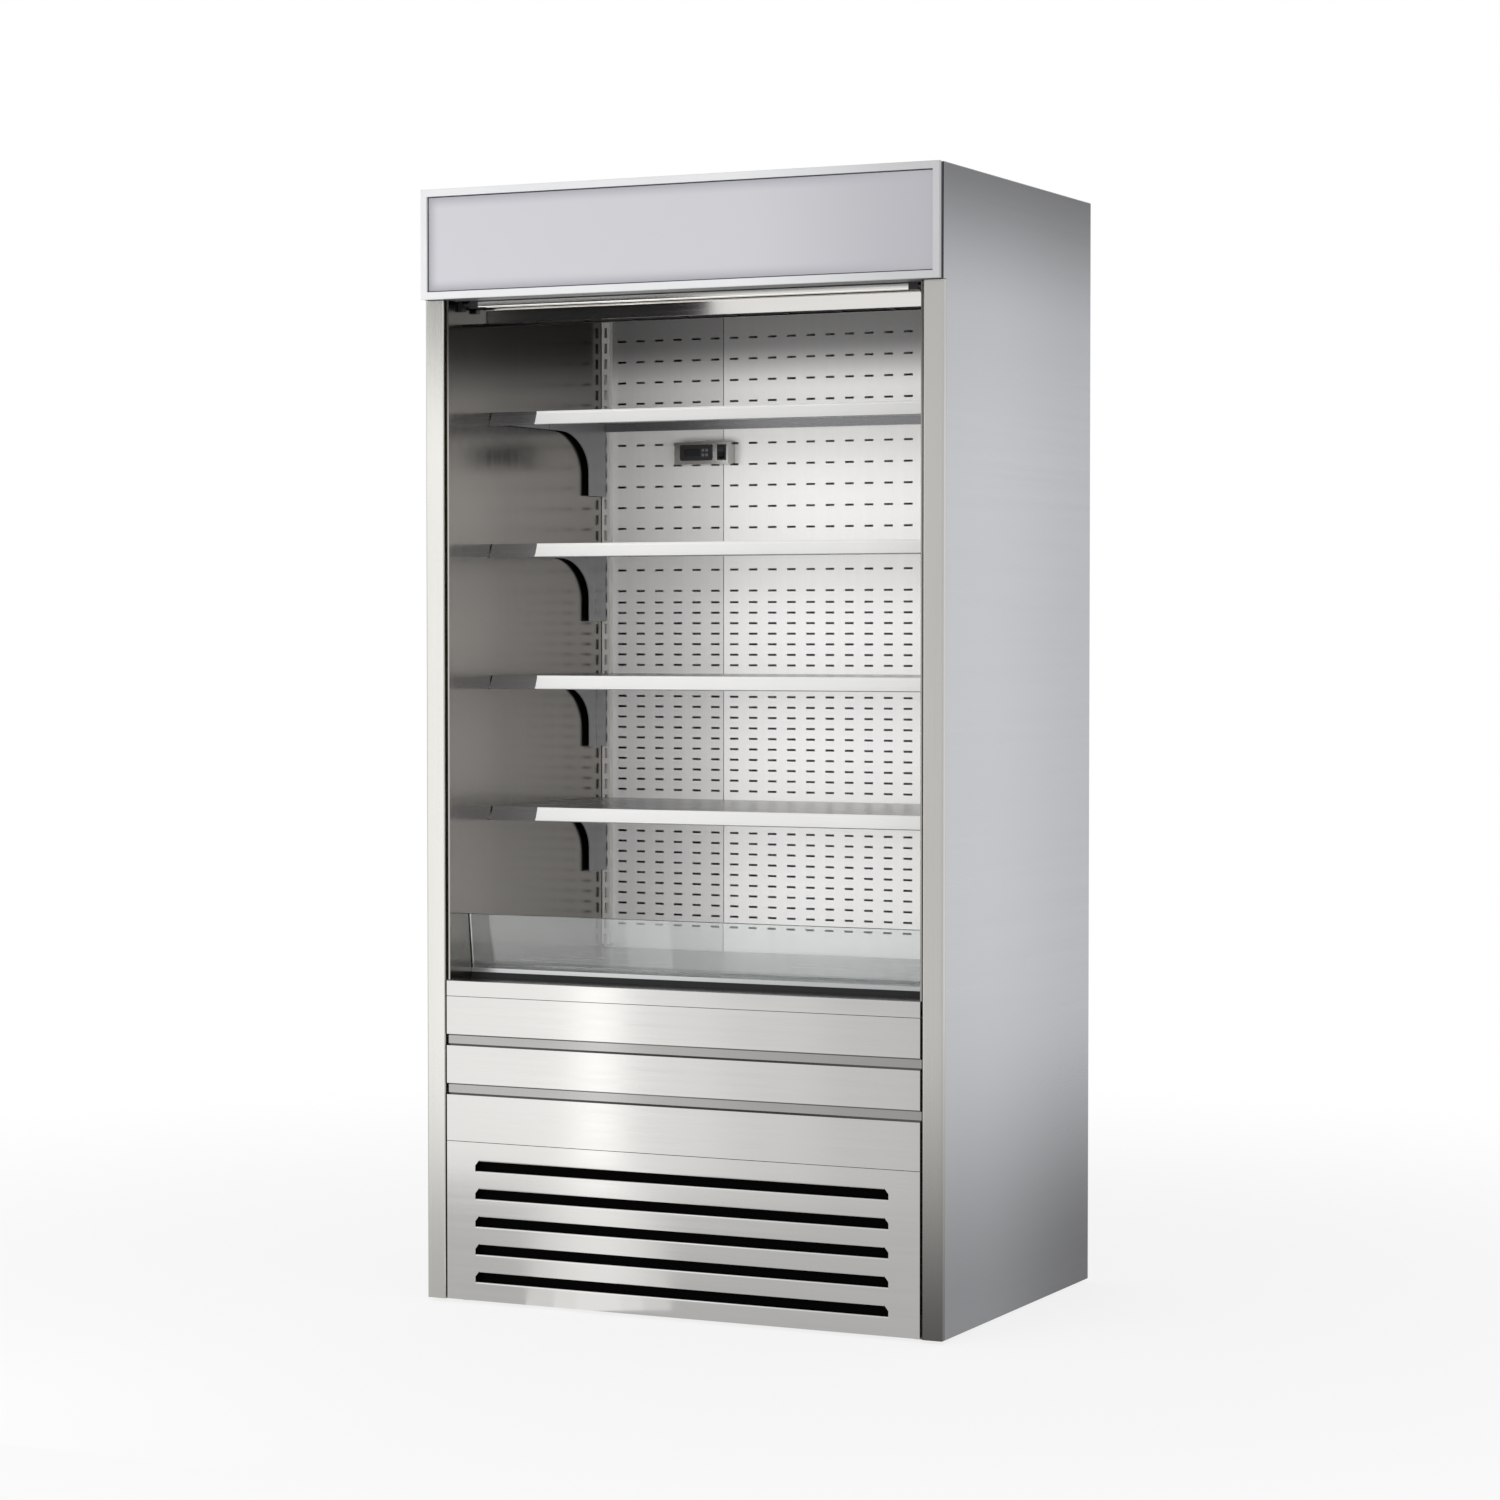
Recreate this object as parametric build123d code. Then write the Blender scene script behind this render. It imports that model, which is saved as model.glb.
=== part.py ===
from build123d import *
import math
import os

os.makedirs("parts", exist_ok=True)

# Open multideck display fridge. Millimetres, +Z up, front towards -Y.
# The origin is on the floor, under the middle of the overall box.

# ---- Cabinet
width = 1006.0  # over the two side skins
height = 1997.0  # floor to the top cover
body_depth = 702.0  # faces of the front trims to the rear skin
header_proud = 17.0  # the header stands this far in front of the trims
foot_height = 6.0  # floor to the underside of the base frame
side_wall = 44.0  # side skin to the face of the side liner
rear_wall = 61.0  # rear skin to the face of the rear liner
roof_wall = 117.0  # top cover to the underside of the roof liner
duct_gap = 37.0  # rear liner to the face of the duct panels
top_duct = 44.0  # roof liner to the underside of the ceiling liner
skin = 1.0  # outer and inner sheet metal
panel = 1.2  # sheet of the front panels
hem = 15.0  # folded edge of a skin
seam = 1.0  # joint line between two front panels
fit = 0.3  # clearance between pieces that part or slide
beyond = 1.0  # cutters reach this far past what they cut
post_sides = 12  # flats of a thin round post, a round part and a wide round mouth
round_sides = 24
mouth_sides = 32

# ---- Front trims
trim_face = 37.5
trim_wrap = 12.0  # part of the trim that shows on the side
trim_return = 18.0
trim_sheet = 1.5
trim_radius = 3.0
trim_gap = 3.5  # shadow gap between a trim and the panels beside it
liner_edge = 3.0  # width of the side liner's folded front edge
liner_setback = 7.0  # trims' faces to the liner's folded edge

# ---- Front panels, from the bottom up
louvre_panel_height = 285.0
fascia_flats = (83.0, 68.0, 68.0)  # flat faces between the grooves
groove_height = 20.5
groove_depth = 7.0
groove_slope = 3.0  # the groove's flanks lean this much
cap_height = 27.0
cap_reach = 84.0  # how far the cap rail's top runs back to the glass
pan_depth = 18.0  # folded sides of the front panels

# ---- Louvres pressed into the lower front panel
louvre_count = 5
louvre_pitch = 50.0
louvre_side = 58.0  # ends of the louvres to the ends of the panel
louvre_height = 22.5
louvre_top_margin = 31.5  # panel's upper edge to the first louvre
louvre_throw = 13.0  # how far the pressed lip reaches inwards
louvre_corner = 9.0  # slope at the louvre's upper corners
louvre_mouth = 8.0  # gap over the pressed lip
louvre_steps = 6

# ---- Base frame, feet and machine tray
frame_rail = 40.0
frame_flange = 25.0
frame_sheet = 2.5
foot_inset_x = 60.0
foot_inset_y = 55.0
foot_radius = 22.0
foot_pad = 5.7
foot_plate = 68.0  # square plate welded in over each foot
stud_radius = 5.0
stud_length = 20.0
cross_member_x = (-160.0, 190.0)
tray_sheet = 1.5
tray_lip = 15.0
tray_margin = 34.0

# ---- Evaporator tub under the display floor
tub_floor_wall = 50.0
tub_front_wall = 42.0
tub_top_drop = 5.0  # tub's flange below the cap rail
floor_rise = 18.0  # cap rail to the top of the display floor
deck_sheet = 1.2
deck_flange = 20.0
ledge_size = 15.0
intake_depth = 74.0
intake_drop = 3.0
intake_slot = (70.0, 8.0)
intake_columns = 9
intake_rows = 2

# ---- Glass riser
glass_height = 117.0
glass_thickness = 6.0
glass_lean = 14.0  # the top edge stands this far in front of the foot
clamp_width = 14.0
clamp_height = 17.0
glass_seat = 1.0  # the foot of the glass's slope, below the cap rail's top
glass_offset = 1.0  # glass behind the middle of its clamp
glass_end = 2.0  # side liner to the end of the glass
glass_edge = 1.5

# ---- Shelves and uprights
shelf_count = 4
first_shelf_rise = 289.0  # display floor to the top of the lowest shelf
top_shelf_drop = 228.0  # ceiling to the top of the highest shelf
shelf_front = 161.0  # trims' faces to the deck's front fold
shelf_side_gap = 1.5
shelf_back_gap = 6.0
lip_drop = 25.0
lip_reach = 10.0
lip_return = 8.0
side_flange = 16.0
ticket_height = 25.0
ticket_sheet = 1.2
ticket_start = 95.0  # bare lip left at the shelf's left end
upright_width = 17.0
upright_depth = 12.0
upright_sheet = 2.0
upright_bottom = 606.0
slots_per_shelf = 4  # slot pitches from one shelf to the next
slot_size = (6.0, 19.0)
upright_inset = 1.0  # side liner to the upright
bracket_sheet = 2.5
bracket_arm = 20.0
bracket_front = 24.0  # deck's front fold to the tip of the arm
bracket_leg = 68.0
bracket_length = 140.0
tip_corner = 8.0
tilt_relief = 1.5  # spare room behind the arm when the shelf is tilted
arch = (115.0, 78.0)  # half axes of the curve between arm and leg
neck_height = 10.0
neck_drop = 3.0
hook_gap = 1.5
hook_thickness = 4.0
hook_drop = 4.0
tab_slots = 2  # slot pitches from the hook to the steadying tab
tilt_angle = 12.0  # how far a shelf tips up before it lifts out
tab_length = 3.5
tab_height = 9.0
hook_seat = 0.05  # the hook's neck above the slot's lower edge

# ---- Rear duct panels
left_panel = 257.0  # width of the left duct panel
lap = 12.0
duct_slot = (18.0, 4.0)
duct_columns = 22
duct_column_pitch = 40.0
duct_step = 2  # every second slot of a row is cut, the rest is fine texture
duct_row_rise = 158.0  # shelf to the row of slots above it
duct_bottom = 560.0

# ---- Controller on the rear panel
control_size = (113.0, 32.0, 42.0)  # width, depth and height
control_right = 24.0  # joint of the duct panels to the housing's right end
control_drop = 40.0  # top shelf to the housing's upper face
control_margin = 5.0  # housing's upper face to the bezel and the switch
control_sheet = 1.5
bezel_size = (65.0, 30.0)
bezel_left = 14.0  # housing's left end to the bezel
bezel_chamfer = 2.5
bezel_proud = 5.0
window_margin = (8.0, 22.0)  # bezel's edges to its window, left and right
window_recess = 1.0
well_depth = 16.0
rocker_size = (18.0, 30.0)
rocker_right = 4.0  # switch to the housing's right end
rocker_angle = 14.0  # the key's throw
rocker_proud = 3.0
rocker_rim = 3.0
rocker_pivot = 4.0  # housing's face to the pins
rocker_pin = 1.2
rocker_gap = 1.4  # well's end to the key's end
rocker_back = 5.0
pin_reach = 1.3

# ---- Header
header_height = 196.0
header_face = 13.0  # width of the frame's front face
header_frame_depth = 5.0
header_edge = 1.2
sign_thickness = 3.0
sign_overlap = 6.0
light_box_back = 40.0  # trims' faces to the back of the light box
light_box_inset = 1.3
light_strip = (900.0, 6.0, 12.0)
light_heights = (0.32, 0.68)  # shares of the header's height

# ---- Canopy, discharge and night curtain
canopy_drop = 38.0  # header's underside to the canopy's lower edge
canopy_face = 43.0
canopy_set_back = 75.0
canopy_step = 20.0
canopy_lip = 8.0
discharge_depth = 75.0
honeycomb_height = 20.0
honeycomb_cells = (9, 2)
honeycomb_wall = 4.0
bar_height = 12.0
bar_depth = 10.0
bar_set_back = 44.0
bar_cap = 18.0
bar_glide = 13.0
glide_radius = 5.5
bar_edge = 2.0
cap_over = 0.6  # the caps stand this far over the bar
cap_under = 0.2  # header to the caps
roller_radius = 14.0
roll_radius = 20.0
roller_set_back = 70.0
roller_rise = 40.0  # roller's axis above the header's underside
roller_pin = 4.0
pin_shoulder = 4.0  # roller's tube to the bracket
pin_clearance = 0.05
curtain_bracket = 7.7
curtain_cloth = 0.4
bracket_back = 14.0  # depth of the bracket's foot
bracket_margin = 2.0

# ---- Refrigeration
coil_side = 59.0  # side liner to the ends of the evaporator and the condenser
coil_size = (170.0, 150.0)  # depth and height of the evaporator
coil_lift = 10.0
coil_set_back = 75.0  # fan plate to the evaporator
evaporator_fins = 10
evaporator_tiers = 2
condenser_fins = 9
condenser_tiers = 3
fin_sheet = 2.0
tier_sheet = 3.0
tube_radius = 5.0
tube_pitch = 30.0
bend_sides = 8
fan_plate_back = 225.0  # trims' faces to the evaporator's fan plate
fan_plate_drop = 24.0  # display floor to the upper edge of the fan plate
fan_rim = 36.5  # fan plate's edges to the fan's tips
fan_hub = 26.0
fan_width = 24.0
fan_blades = 5
blade_chord = 0.62  # share of the fan's radius
blade_camber = 0.09  # share of the chord
blade_pitch = 28.0
blade_sheet = 1.5
blade_root = 3.0  # how far a blade runs into the hub
fan_x = 215.0
fan_clearance = 5.0
fan_ahead = 2.0  # fan plate to the middle of the fan
motor_gap = 3.0
motor_radius = 24.0
motor_length = 44.0
motor_arm = (10.0, 3.0)  # width and sheet of the motor's arms
motor_reach = 11.0  # fan's tips to the ends of the arms
shaft_radius = 3.0
shaft_length = 20.0
shaft_clearance = 0.05
hub_face = 2.0  # closed end of the hub's bore
condenser_width = 330.0
condenser_size = (44.0, 200.0)  # depth and height
condenser_set_back = 62.0
shroud_depth = 46.0
condenser_fan_radius = 86.0
compressor_gap = 36.0  # condensate tray to the compressor's shell
compressor_back = 412.5  # trims' faces to the compressor's axis
compressor_radius = 84.0
compressor_height = 176.0
compressor_feet = 14.0
compressor_plate = (16.0, 1.3, 5.0)  # reach past the shell, depth as a share of its radius, sheet
weld_band = (5.0, 6.0)  # how far the shell's welded waist stands out, and its height
shell_sides = 24
shell_shoulder = 0.78  # share of the height where the crown begins
shell_taper = 41.0  # lean of the crown's sides
pipe_radius = 4.0
pipe_sides = 8
pipe_corner = 8.0
stub_wall = 1.5
stub_length = 6.0
pipe_lead = 24.0  # stub to the rising discharge pipe
pipe_over = 14.0  # condenser's top to the pipe across it
pipe_entry = 60.0  # condenser's end to the pipe that enters it
discharge_stub = (-20.0, 110.0)  # beside the shell's axis and above its foot
suction_stub = (40.0, 60.0)
liquid_exit = 12.0  # condenser's foot to the liquid pipe
riser_side = (29.0, 47.0)  # side liner to the liquid and suction risers
riser_back = (152.5, 72.5)  # evaporator's front to the risers
riser_rise = 85.0  # tub's floor to where the risers enter the evaporator
hatch_margin = 6.0
drain_side = 129.0  # side liner to the drain's axis
drain_back = 37.5  # fan plate to the drain's axis
drain_radius = 14.0
drain_wall = 2.0
drain_flange = (22.0, 1.5)  # radius and sheet
drain_drop = 10.0  # drain's end to the rim of the condensate tray
condensate_size = (200.0, 260.0, 45.0)
condensate_side = 19.0  # side liner to the condensate tray
condensate_front = 30.0  # tray's front to the drain's axis
condensate_corner = 12.0
condensate_wall = 2.0
electrical_size = (160.0, 90.0, 140.0)
electrical_side = 29.0
electrical_set_back = 72.5
electrical_lid = (1.5, 3.0, 18.0, 4.0)  # overlap, lid's face, depth of its rim, gap below
vent_slot = (150.0, 7.0)
vent_columns = (-40.0, 140.0, 320.0)
vent_z = (85.0, 245.0)
vent_rows = 5
gland_side = 30.0  # electrical box's inner end to the gland's axis
gland_z = 60.0
gland_radius = 9.0
gland_nut = (4.0, 6.0)  # reach past the neck, and length
gland_wall = 4.0

# ---- Places that follow from the sizes
half = width / 2
front = header_proud - (body_depth + header_proud) / 2
back = front + body_depth
base = foot_height
liner_x = half - side_wall
panel_x = half - trim_face - trim_gap
header_z = height - header_height
cover_z = height - skin
rear_liner_y = back - rear_wall
duct_y = rear_liner_y - duct_gap
roof_z = height - roof_wall
ceiling_z = roof_z - top_duct
canopy_z = header_z - canopy_drop
louvre_z = base + seam
louvre_top = louvre_z + louvre_panel_height
fascia_z = louvre_top + seam
fascia_height = sum(fascia_flats) + 2 * groove_height
fascia_top = fascia_z + fascia_height
cap_z = fascia_top + seam
cap_top = cap_z + cap_height
tub_top = cap_top - tub_top_drop
tub_sheet_y = front + pan_depth
frame_top = base + frame_rail
tray_top = frame_top + tray_sheet
machine_top = fascia_z + 2.0
tub_floor = machine_top + skin + tub_floor_wall
tub_wall_y = tub_sheet_y + skin + tub_front_wall
wall_foot = frame_top + 2.0
upright_x = liner_x - upright_inset - upright_width / 2
upright_y = duct_y - upright_depth
hinge_y = upright_y + upright_sheet
shelf_y = front + shelf_front
shelf_back = upright_y - shelf_back_gap
shelf_half = liner_x - shelf_side_gap
floor_height = cap_top + floor_rise
first_shelf = floor_height + first_shelf_rise
shelf_pitch = (ceiling_z - top_shelf_drop - first_shelf) / (shelf_count - 1)
shelf_tops = [first_shelf + shelf_pitch * i for i in range(shelf_count)]
slot_pitch = shelf_pitch / slots_per_shelf
hinge_drop = deck_sheet + neck_drop + neck_height
glass_y = front + cap_reach
curtain_y = front + roller_set_back
curtain_z = header_z + roller_rise
cloth_y = curtain_y - roll_radius
roller_end = liner_x - curtain_bracket
panel_lap_x = left_panel - liner_x
control_x = (panel_lap_x + control_right - control_size[0], panel_lap_x + control_right)
control_y = duct_y - control_size[1]
control_z = (shelf_tops[-1] - control_drop - control_size[2], shelf_tops[-1] - control_drop)
bezel_x = (control_x[0] + bezel_left, control_x[0] + bezel_left + bezel_size[0])
bezel_z = (control_z[1] - control_margin - bezel_size[1], control_z[1] - control_margin)
rocker_x = (control_x[1] - rocker_right - rocker_size[0], control_x[1] - rocker_right)
rocker_z = (control_z[1] - control_margin - rocker_size[1], control_z[1] - control_margin)
coil_half = liner_x - coil_side
fan_plate_y = front + fan_plate_back
fan_plate_top = floor_height - fan_plate_drop
fan_z = (tub_floor + fan_plate_top) / 2
fan_radius = (fan_plate_top - tub_floor) / 2 - fan_rim
fan_y = fan_plate_y - fan_ahead
coil_y = fan_plate_y + panel + coil_set_back
drain_x = drain_side - liner_x
drain_y = fan_plate_y + drain_back
condensate_x = (condensate_side - liner_x, condensate_side - liner_x + condensate_size[0])
condensate_y = (drain_y - condensate_front, drain_y - condensate_front + condensate_size[1])
electrical_x = (electrical_side - liner_x, electrical_side - liner_x + electrical_size[0])
electrical_y = (front + electrical_set_back, front + electrical_set_back + electrical_size[1])
gland_x = electrical_x[1] - gland_side
condenser_x = (coil_half - condenser_width, coil_half)
condenser_y = front + condenser_set_back
condenser_mid_x = sum(condenser_x) / 2
condenser_mid_z = tray_top + condenser_size[1] / 2
shroud_y = condenser_y + condenser_size[0]
condenser_fan_y = shroud_y + shroud_depth - fan_width / 2
compressor_x = condensate_x[1] + compressor_gap + compressor_radius
compressor_y = front + compressor_back
risers = [(liner_x - side, coil_y + depth) for side, depth in zip(riser_side, riser_back)]

# ---- Planes to draw profiles on
side_plane = Plane(origin=(0, 0, 0), x_dir=(0, 1, 0), z_dir=(1, 0, 0))
front_plane = Plane(origin=(0, 0, 0), x_dir=(1, 0, 0), z_dir=(0, -1, 0))


def block(x, y, z):
    """A block between pairs of low and high coordinates."""
    middle = Pos((x[0] + x[1]) / 2, (y[0] + y[1]) / 2, (z[0] + z[1]) / 2)
    return middle * Box(x[1] - x[0], y[1] - y[0], z[1] - z[0])


def polygon(points):
    return make_face(Polyline(*points, close=True))


def shifted(points, distance):
    """A bent line moved sideways, its corners kept sharp."""
    runs = [Vector(*b) - Vector(*a) for a, b in zip(points, points[1:])]
    normals = [Vector(-run.Y, run.X) / run.length for run in runs]
    corners = [(a + b) / (1 + a.dot(b)) for a, b in zip(normals, normals[1:])]
    moves = [normals[0], *corners, normals[-1]]
    return [(p[0] + distance * m.X, p[1] + distance * m.Y) for p, m in zip(points, moves)]


def folded(points, thickness, radius=0.0):
    """The section of a sheet bent along points, its thickness on the left of that line."""
    if radius == 0.0:
        return polygon([*points, *reversed(shifted(points, thickness))])
    line = FilletPolyline(*points, radius=radius)
    side = Side.LEFT if thickness > 0 else Side.RIGHT
    return make_face(offset(line, amount=abs(thickness), side=side))


def along_x(section, x0, x1):
    """A section in (y, z) carried from x0 to x1."""
    return Pos(x0, 0, 0) * extrude(side_plane * section, amount=x1 - x0)


def along_y(section, y0, y1):
    """A section in (x, z) carried from y0 to y1."""
    return Pos(0, y1, 0) * extrude(front_plane * section, amount=y1 - y0)


def along_z(section, z0, z1):
    """A section in (x, y) carried from z0 to z1."""
    return Pos(0, 0, z0) * extrude(section, amount=z1 - z0)


def mirrored(shape):
    return mirror(shape, about=Plane.YZ)


def group(*pieces):
    """Separate solids that share one node."""
    return Compound(children=list(pieces))


def pair(shape):
    """A right-hand piece and its left-hand twin."""
    return group(shape, mirrored(shape))


def rod_y(x, z, radius, y0, y1):
    return Pos(x, (y0 + y1) / 2, z) * Rot(90, 0, 0) * Cylinder(radius, y1 - y0)


def rod_x(y, z, radius, x0, x1):
    return Pos((x0 + x1) / 2, y, z) * Rot(0, 90, 0) * Cylinder(radius, x1 - x0)


def rod_z(x, y, radius, z0, z1):
    return Pos(x, y, (z0 + z1) / 2) * Cylinder(radius, z1 - z0)


def prism_z(x, y, radius, sides, z0, z1):
    """A many-sided post with flats, its corners on the radius."""
    return along_z(Pos(x, y) * RegularPolygon(radius, sides), z0, z1)


def prism_y(x, z, radius, sides, y0, y1):
    return along_y(Pos(x, z) * RegularPolygon(radius, sides), y0, y1)


def prism_x(y, z, radius, sides, x0, x1):
    return along_x(Pos(y, z) * RegularPolygon(radius, sides), x0, x1)


def holes(shape, cutters):
    """Takes many cutters out of a shape in one go."""
    return shape - group(*cutters)


parts = {}


# ---- Outer cabinet
def side_skin():
    """The right side skin: a flat sheet, notched under the header, with folded edges front and rear."""
    edge = front + trim_wrap + fit
    outline = polygon([
        (edge, base), (back - skin, base), (back - skin, cover_z),
        (front, cover_z), (front, header_z), (edge, header_z),
    ])
    sheet = along_x(outline, half - skin, half)
    front_hem = block((half - hem, half - skin), (edge, edge + skin), (frame_top, header_z))
    rear_hem = block((half - hem, half - skin), (back - 2 * skin, back - skin), (frame_top, cover_z))
    return sheet + front_hem + rear_hem


def front_trim():
    """The right corner trim, one bent sheet that wraps the corner of the cabinet."""
    inner = half - trim_face
    section = folded([
        (inner, front + trim_return), (inner, front), (half, front), (half, front + trim_wrap),
    ], trim_sheet, trim_radius)
    return along_z(section, base, header_z - seam)


def side_liner():
    """The right inner liner, with the folded edge that shows beside the trim."""
    edge = front + liner_setback
    x = liner_x
    section = polygon([
        (x, rear_liner_y + skin), (x, edge), (x + liner_edge, edge),
        (x + liner_edge, edge + hem - liner_edge), (x + liner_edge - skin, edge + hem - liner_edge),
        (x + liner_edge - skin, edge + skin), (x + skin, edge + skin), (x + skin, rear_liner_y + skin),
    ])
    sheet = along_z(section, wall_foot, cover_z)
    notch_x = (x - 1.0, x + liner_edge + 1.0)
    low = block(notch_x, (front, tub_sheet_y + skin), (base, cap_top + 1.0))
    high = block(notch_x, (front, front + light_box_back + fit), (header_z - seam, height))
    return sheet - low - high


def side_foam():
    """The slab of foam between the right skin and liner."""
    x = (liner_x + skin, half - skin)
    start = front + liner_setback + hem
    slab = block(x, (start, back - 2 * skin), (wall_foot, cover_z))
    return slab - block(x, (front, front + light_box_back + fit), (header_z - seam, height))


def rear_foam():
    x = (-liner_x - skin, liner_x + skin)
    return block(x, (rear_liner_y + skin, back - skin), (machine_top + skin, cover_z))


def roof_foam():
    y = (front + canopy_set_back + canopy_step + panel, rear_liner_y)
    return block((-liner_x, liner_x), y, (roof_z + skin, cover_z))


def tub_foam():
    """The L of foam under and in front of the evaporator, bored for the pipes and the drain."""
    y0 = tub_sheet_y + skin
    section = polygon([
        (y0, machine_top + skin), (rear_liner_y, machine_top + skin), (rear_liner_y, tub_floor - skin),
        (tub_wall_y, tub_floor - skin), (tub_wall_y, tub_top - skin), (y0, tub_top - skin),
    ])
    return floor_bores(along_x(section, -liner_x, liner_x))


def floor_bores(shape):
    """Cuts the floor of the tub for the drain and, in one hatch, for the two pipes."""
    z = (machine_top - beyond, tub_floor + beyond)
    margin = pipe_radius + hatch_margin
    xs, ys = zip(*risers)
    hatch = block((min(xs) - margin, max(xs) + margin), (min(ys) - margin, max(ys) + margin), z)
    return holes(shape, [prism_z(drain_x, drain_y, drain_radius, post_sides, *z), hatch])


parts["side_skins"] = pair(side_skin())
parts["front_trims"] = pair(front_trim())
parts["insulation"] = group(side_foam(), mirrored(side_foam()), rear_foam(), roof_foam(), tub_foam())


def rear_skin():
    return block((-half, half), (back - skin, back), (machine_top + skin, cover_z))


def rear_vent():
    """The lower rear cover, with rows of air slots and the hole of the cable gland."""
    sheet = block((-half, half), (back - skin, back), (base + seam, machine_top))
    length, tall = vent_slot
    slot = Pos(0, back, 0) * Box(length, 4 * skin, tall)
    rise = (vent_z[1] - vent_z[0]) / (vent_rows - 1)
    slots = [Pos(x, 0, vent_z[0] + i * rise) * slot for x in vent_columns for i in range(vent_rows)]
    gland = prism_y(gland_x, gland_z, gland_radius, post_sides, back - 2 * skin, back + beyond)
    return holes(sheet, slots + [gland])


parts["rear_covers"] = group(rear_skin(), rear_vent())
parts["top_cover"] = block((-half, half), (front, back), (cover_z, height))


def rear_and_roof_liner():
    x = (-liner_x, liner_x)
    start = front + canopy_set_back + canopy_step + panel
    rear = block(x, (rear_liner_y, rear_liner_y + skin), (machine_top + skin, cover_z))
    roof = block(x, (start, rear_liner_y), (roof_z, roof_z + skin))
    return group(rear, roof)


parts["rear_and_roof_liner"] = rear_and_roof_liner()


# ---- Base frame, feet, tray
def rail(length):
    """A C-section rail along X, its web on the -Y side, from the middle."""
    section = folded([
        (frame_flange, 0), (0, 0), (0, frame_rail), (frame_flange, frame_rail),
    ], -frame_sheet)
    return along_x(section, -length / 2, length / 2)


foot_places = [
    (sx * (half - foot_inset_x), y)
    for sx in (-1, 1)
    for y in (front + foot_inset_y, back - foot_inset_y)
]


def base_frame():
    """Four welded C-rails, two cross members, and at each corner a plate bored for a foot."""
    y0 = tub_sheet_y
    y1 = back - skin
    middle = (y0 + y1) / 2
    long_rail = rail(2 * (half - skin))
    cross = Rot(0, 0, 90) * rail(y1 - y0)
    side = Pos(half - skin, middle, base) * cross
    frame = Pos(0, y0, base) * long_rail + Pos(0, y1, base) * Rot(0, 0, 180) * long_rail
    frame = frame + side + mirrored(side)
    for x in cross_member_x:
        frame += Pos(x, middle, base) * cross
    for x, y in foot_places:
        frame += Pos(x, y, base + frame_sheet / 2) * Box(foot_plate, foot_plate, frame_sheet)
    z = (base - beyond, base + frame_sheet + beyond)
    return holes(frame, [prism_z(x, y, stud_radius + fit, post_sides, *z) for x, y in foot_places])


def foot():
    """A levelling foot: a round pad and the stud that it turns on."""
    pad = prism_z(0, 0, foot_radius, round_sides, 0, foot_pad)
    return pad + prism_z(0, 0, stud_radius, post_sides, 0, base + stud_length)


parts["base_frame"] = base_frame()
parts["levelling_feet"] = group(*[Pos(x, y, 0) * foot() for x, y in foot_places])


def machine_tray():
    """The tray that carries the refrigeration unit, upturned on all four sides."""
    x = liner_x - 2
    y0 = front + tray_margin
    y1 = back - tray_margin
    outer = block((-x, x), (y0, y1), (frame_top, frame_top + tray_lip))
    inner = block((-x + tray_sheet, x - tray_sheet), (y0 + tray_sheet, y1 - tray_sheet),
                  (tray_top, frame_top + tray_lip + 1))
    return outer - inner


parts["machine_tray"] = machine_tray()


# ---- Tub, floor and duct
def tub_outer_sheet():
    """The sheet under and in front of the tub's foam."""
    section = folded([
        (tub_sheet_y, tub_top - skin), (tub_sheet_y, machine_top), (back - skin, machine_top),
    ], skin)
    return floor_bores(along_x(section, -liner_x, liner_x))


def evaporator_tub():
    """The inner pan that catches the melt water, with a flange over the front foam."""
    section = folded([
        (tub_sheet_y, tub_top - skin), (tub_wall_y, tub_top - skin), (tub_wall_y, tub_floor - skin),
        (rear_liner_y, tub_floor - skin), (rear_liner_y, tub_floor + hem),
    ], skin)
    return floor_bores(along_x(section, -liner_x + fit, liner_x - fit))


def bottom_deck():
    """The lift-out display floor: a sheet with all four edges folded down."""
    y0 = glass_y + clamp_width + intake_depth + fit
    y1 = shelf_back
    x = shelf_half
    z = floor_height
    outer = block((-x, x), (y0, y1), (z - deck_flange, z))
    inner = block((-x + deck_sheet, x - deck_sheet), (y0 + deck_sheet, y1 - deck_sheet),
                  (z - deck_flange - 1, z - deck_sheet))
    return outer - inner


def deck_ledge():
    """The angle on the right liner that the display floor and the intake grille rest on."""
    z = floor_height - deck_flange - fit
    section = folded([
        (liner_x, z - ledge_size), (liner_x, z), (liner_x - ledge_size, z),
    ], deck_sheet)
    return along_y(section, glass_y + clamp_width + fit, duct_y)


def intake_grille():
    """The return-air grille behind the glass, two rows of slots in a folded sheet."""
    y0 = glass_y + clamp_width
    y1 = y0 + intake_depth
    z = floor_height - intake_drop
    section = folded([
        (y0, z - deck_flange + intake_drop), (y0, z), (y1, z), (y1, z - deck_flange + intake_drop),
    ], -deck_sheet)
    sheet = along_x(section, -shelf_half, shelf_half)
    slot = Box(*intake_slot, 4 * deck_sheet)
    pitch = 2 * shelf_half / intake_columns
    middle = (y0 + y1) / 2
    xs = [(i - (intake_columns - 1) / 2) * pitch for i in range(intake_columns)]
    step = intake_depth / (intake_rows + 1)
    ys = [middle + (j - (intake_rows - 1) / 2) * step for j in range(intake_rows)]
    return holes(sheet, [Pos(x, y, z) * slot for x in xs for y in ys])


def duct_slots(x0, x1):
    """The air slots of a duct panel whose columns lie between x0 and x1."""
    slot = Box(duct_slot[0], 4 * skin, duct_slot[1])
    middle = (duct_columns - 1) / 2
    columns = [(i - middle) * duct_column_pitch for i in range(0, duct_columns, duct_step)]
    rows = [top + duct_row_rise for top in shelf_tops]
    return [Pos(x, duct_y, z) * slot for x in columns if x0 < x < x1 for z in rows]


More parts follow.
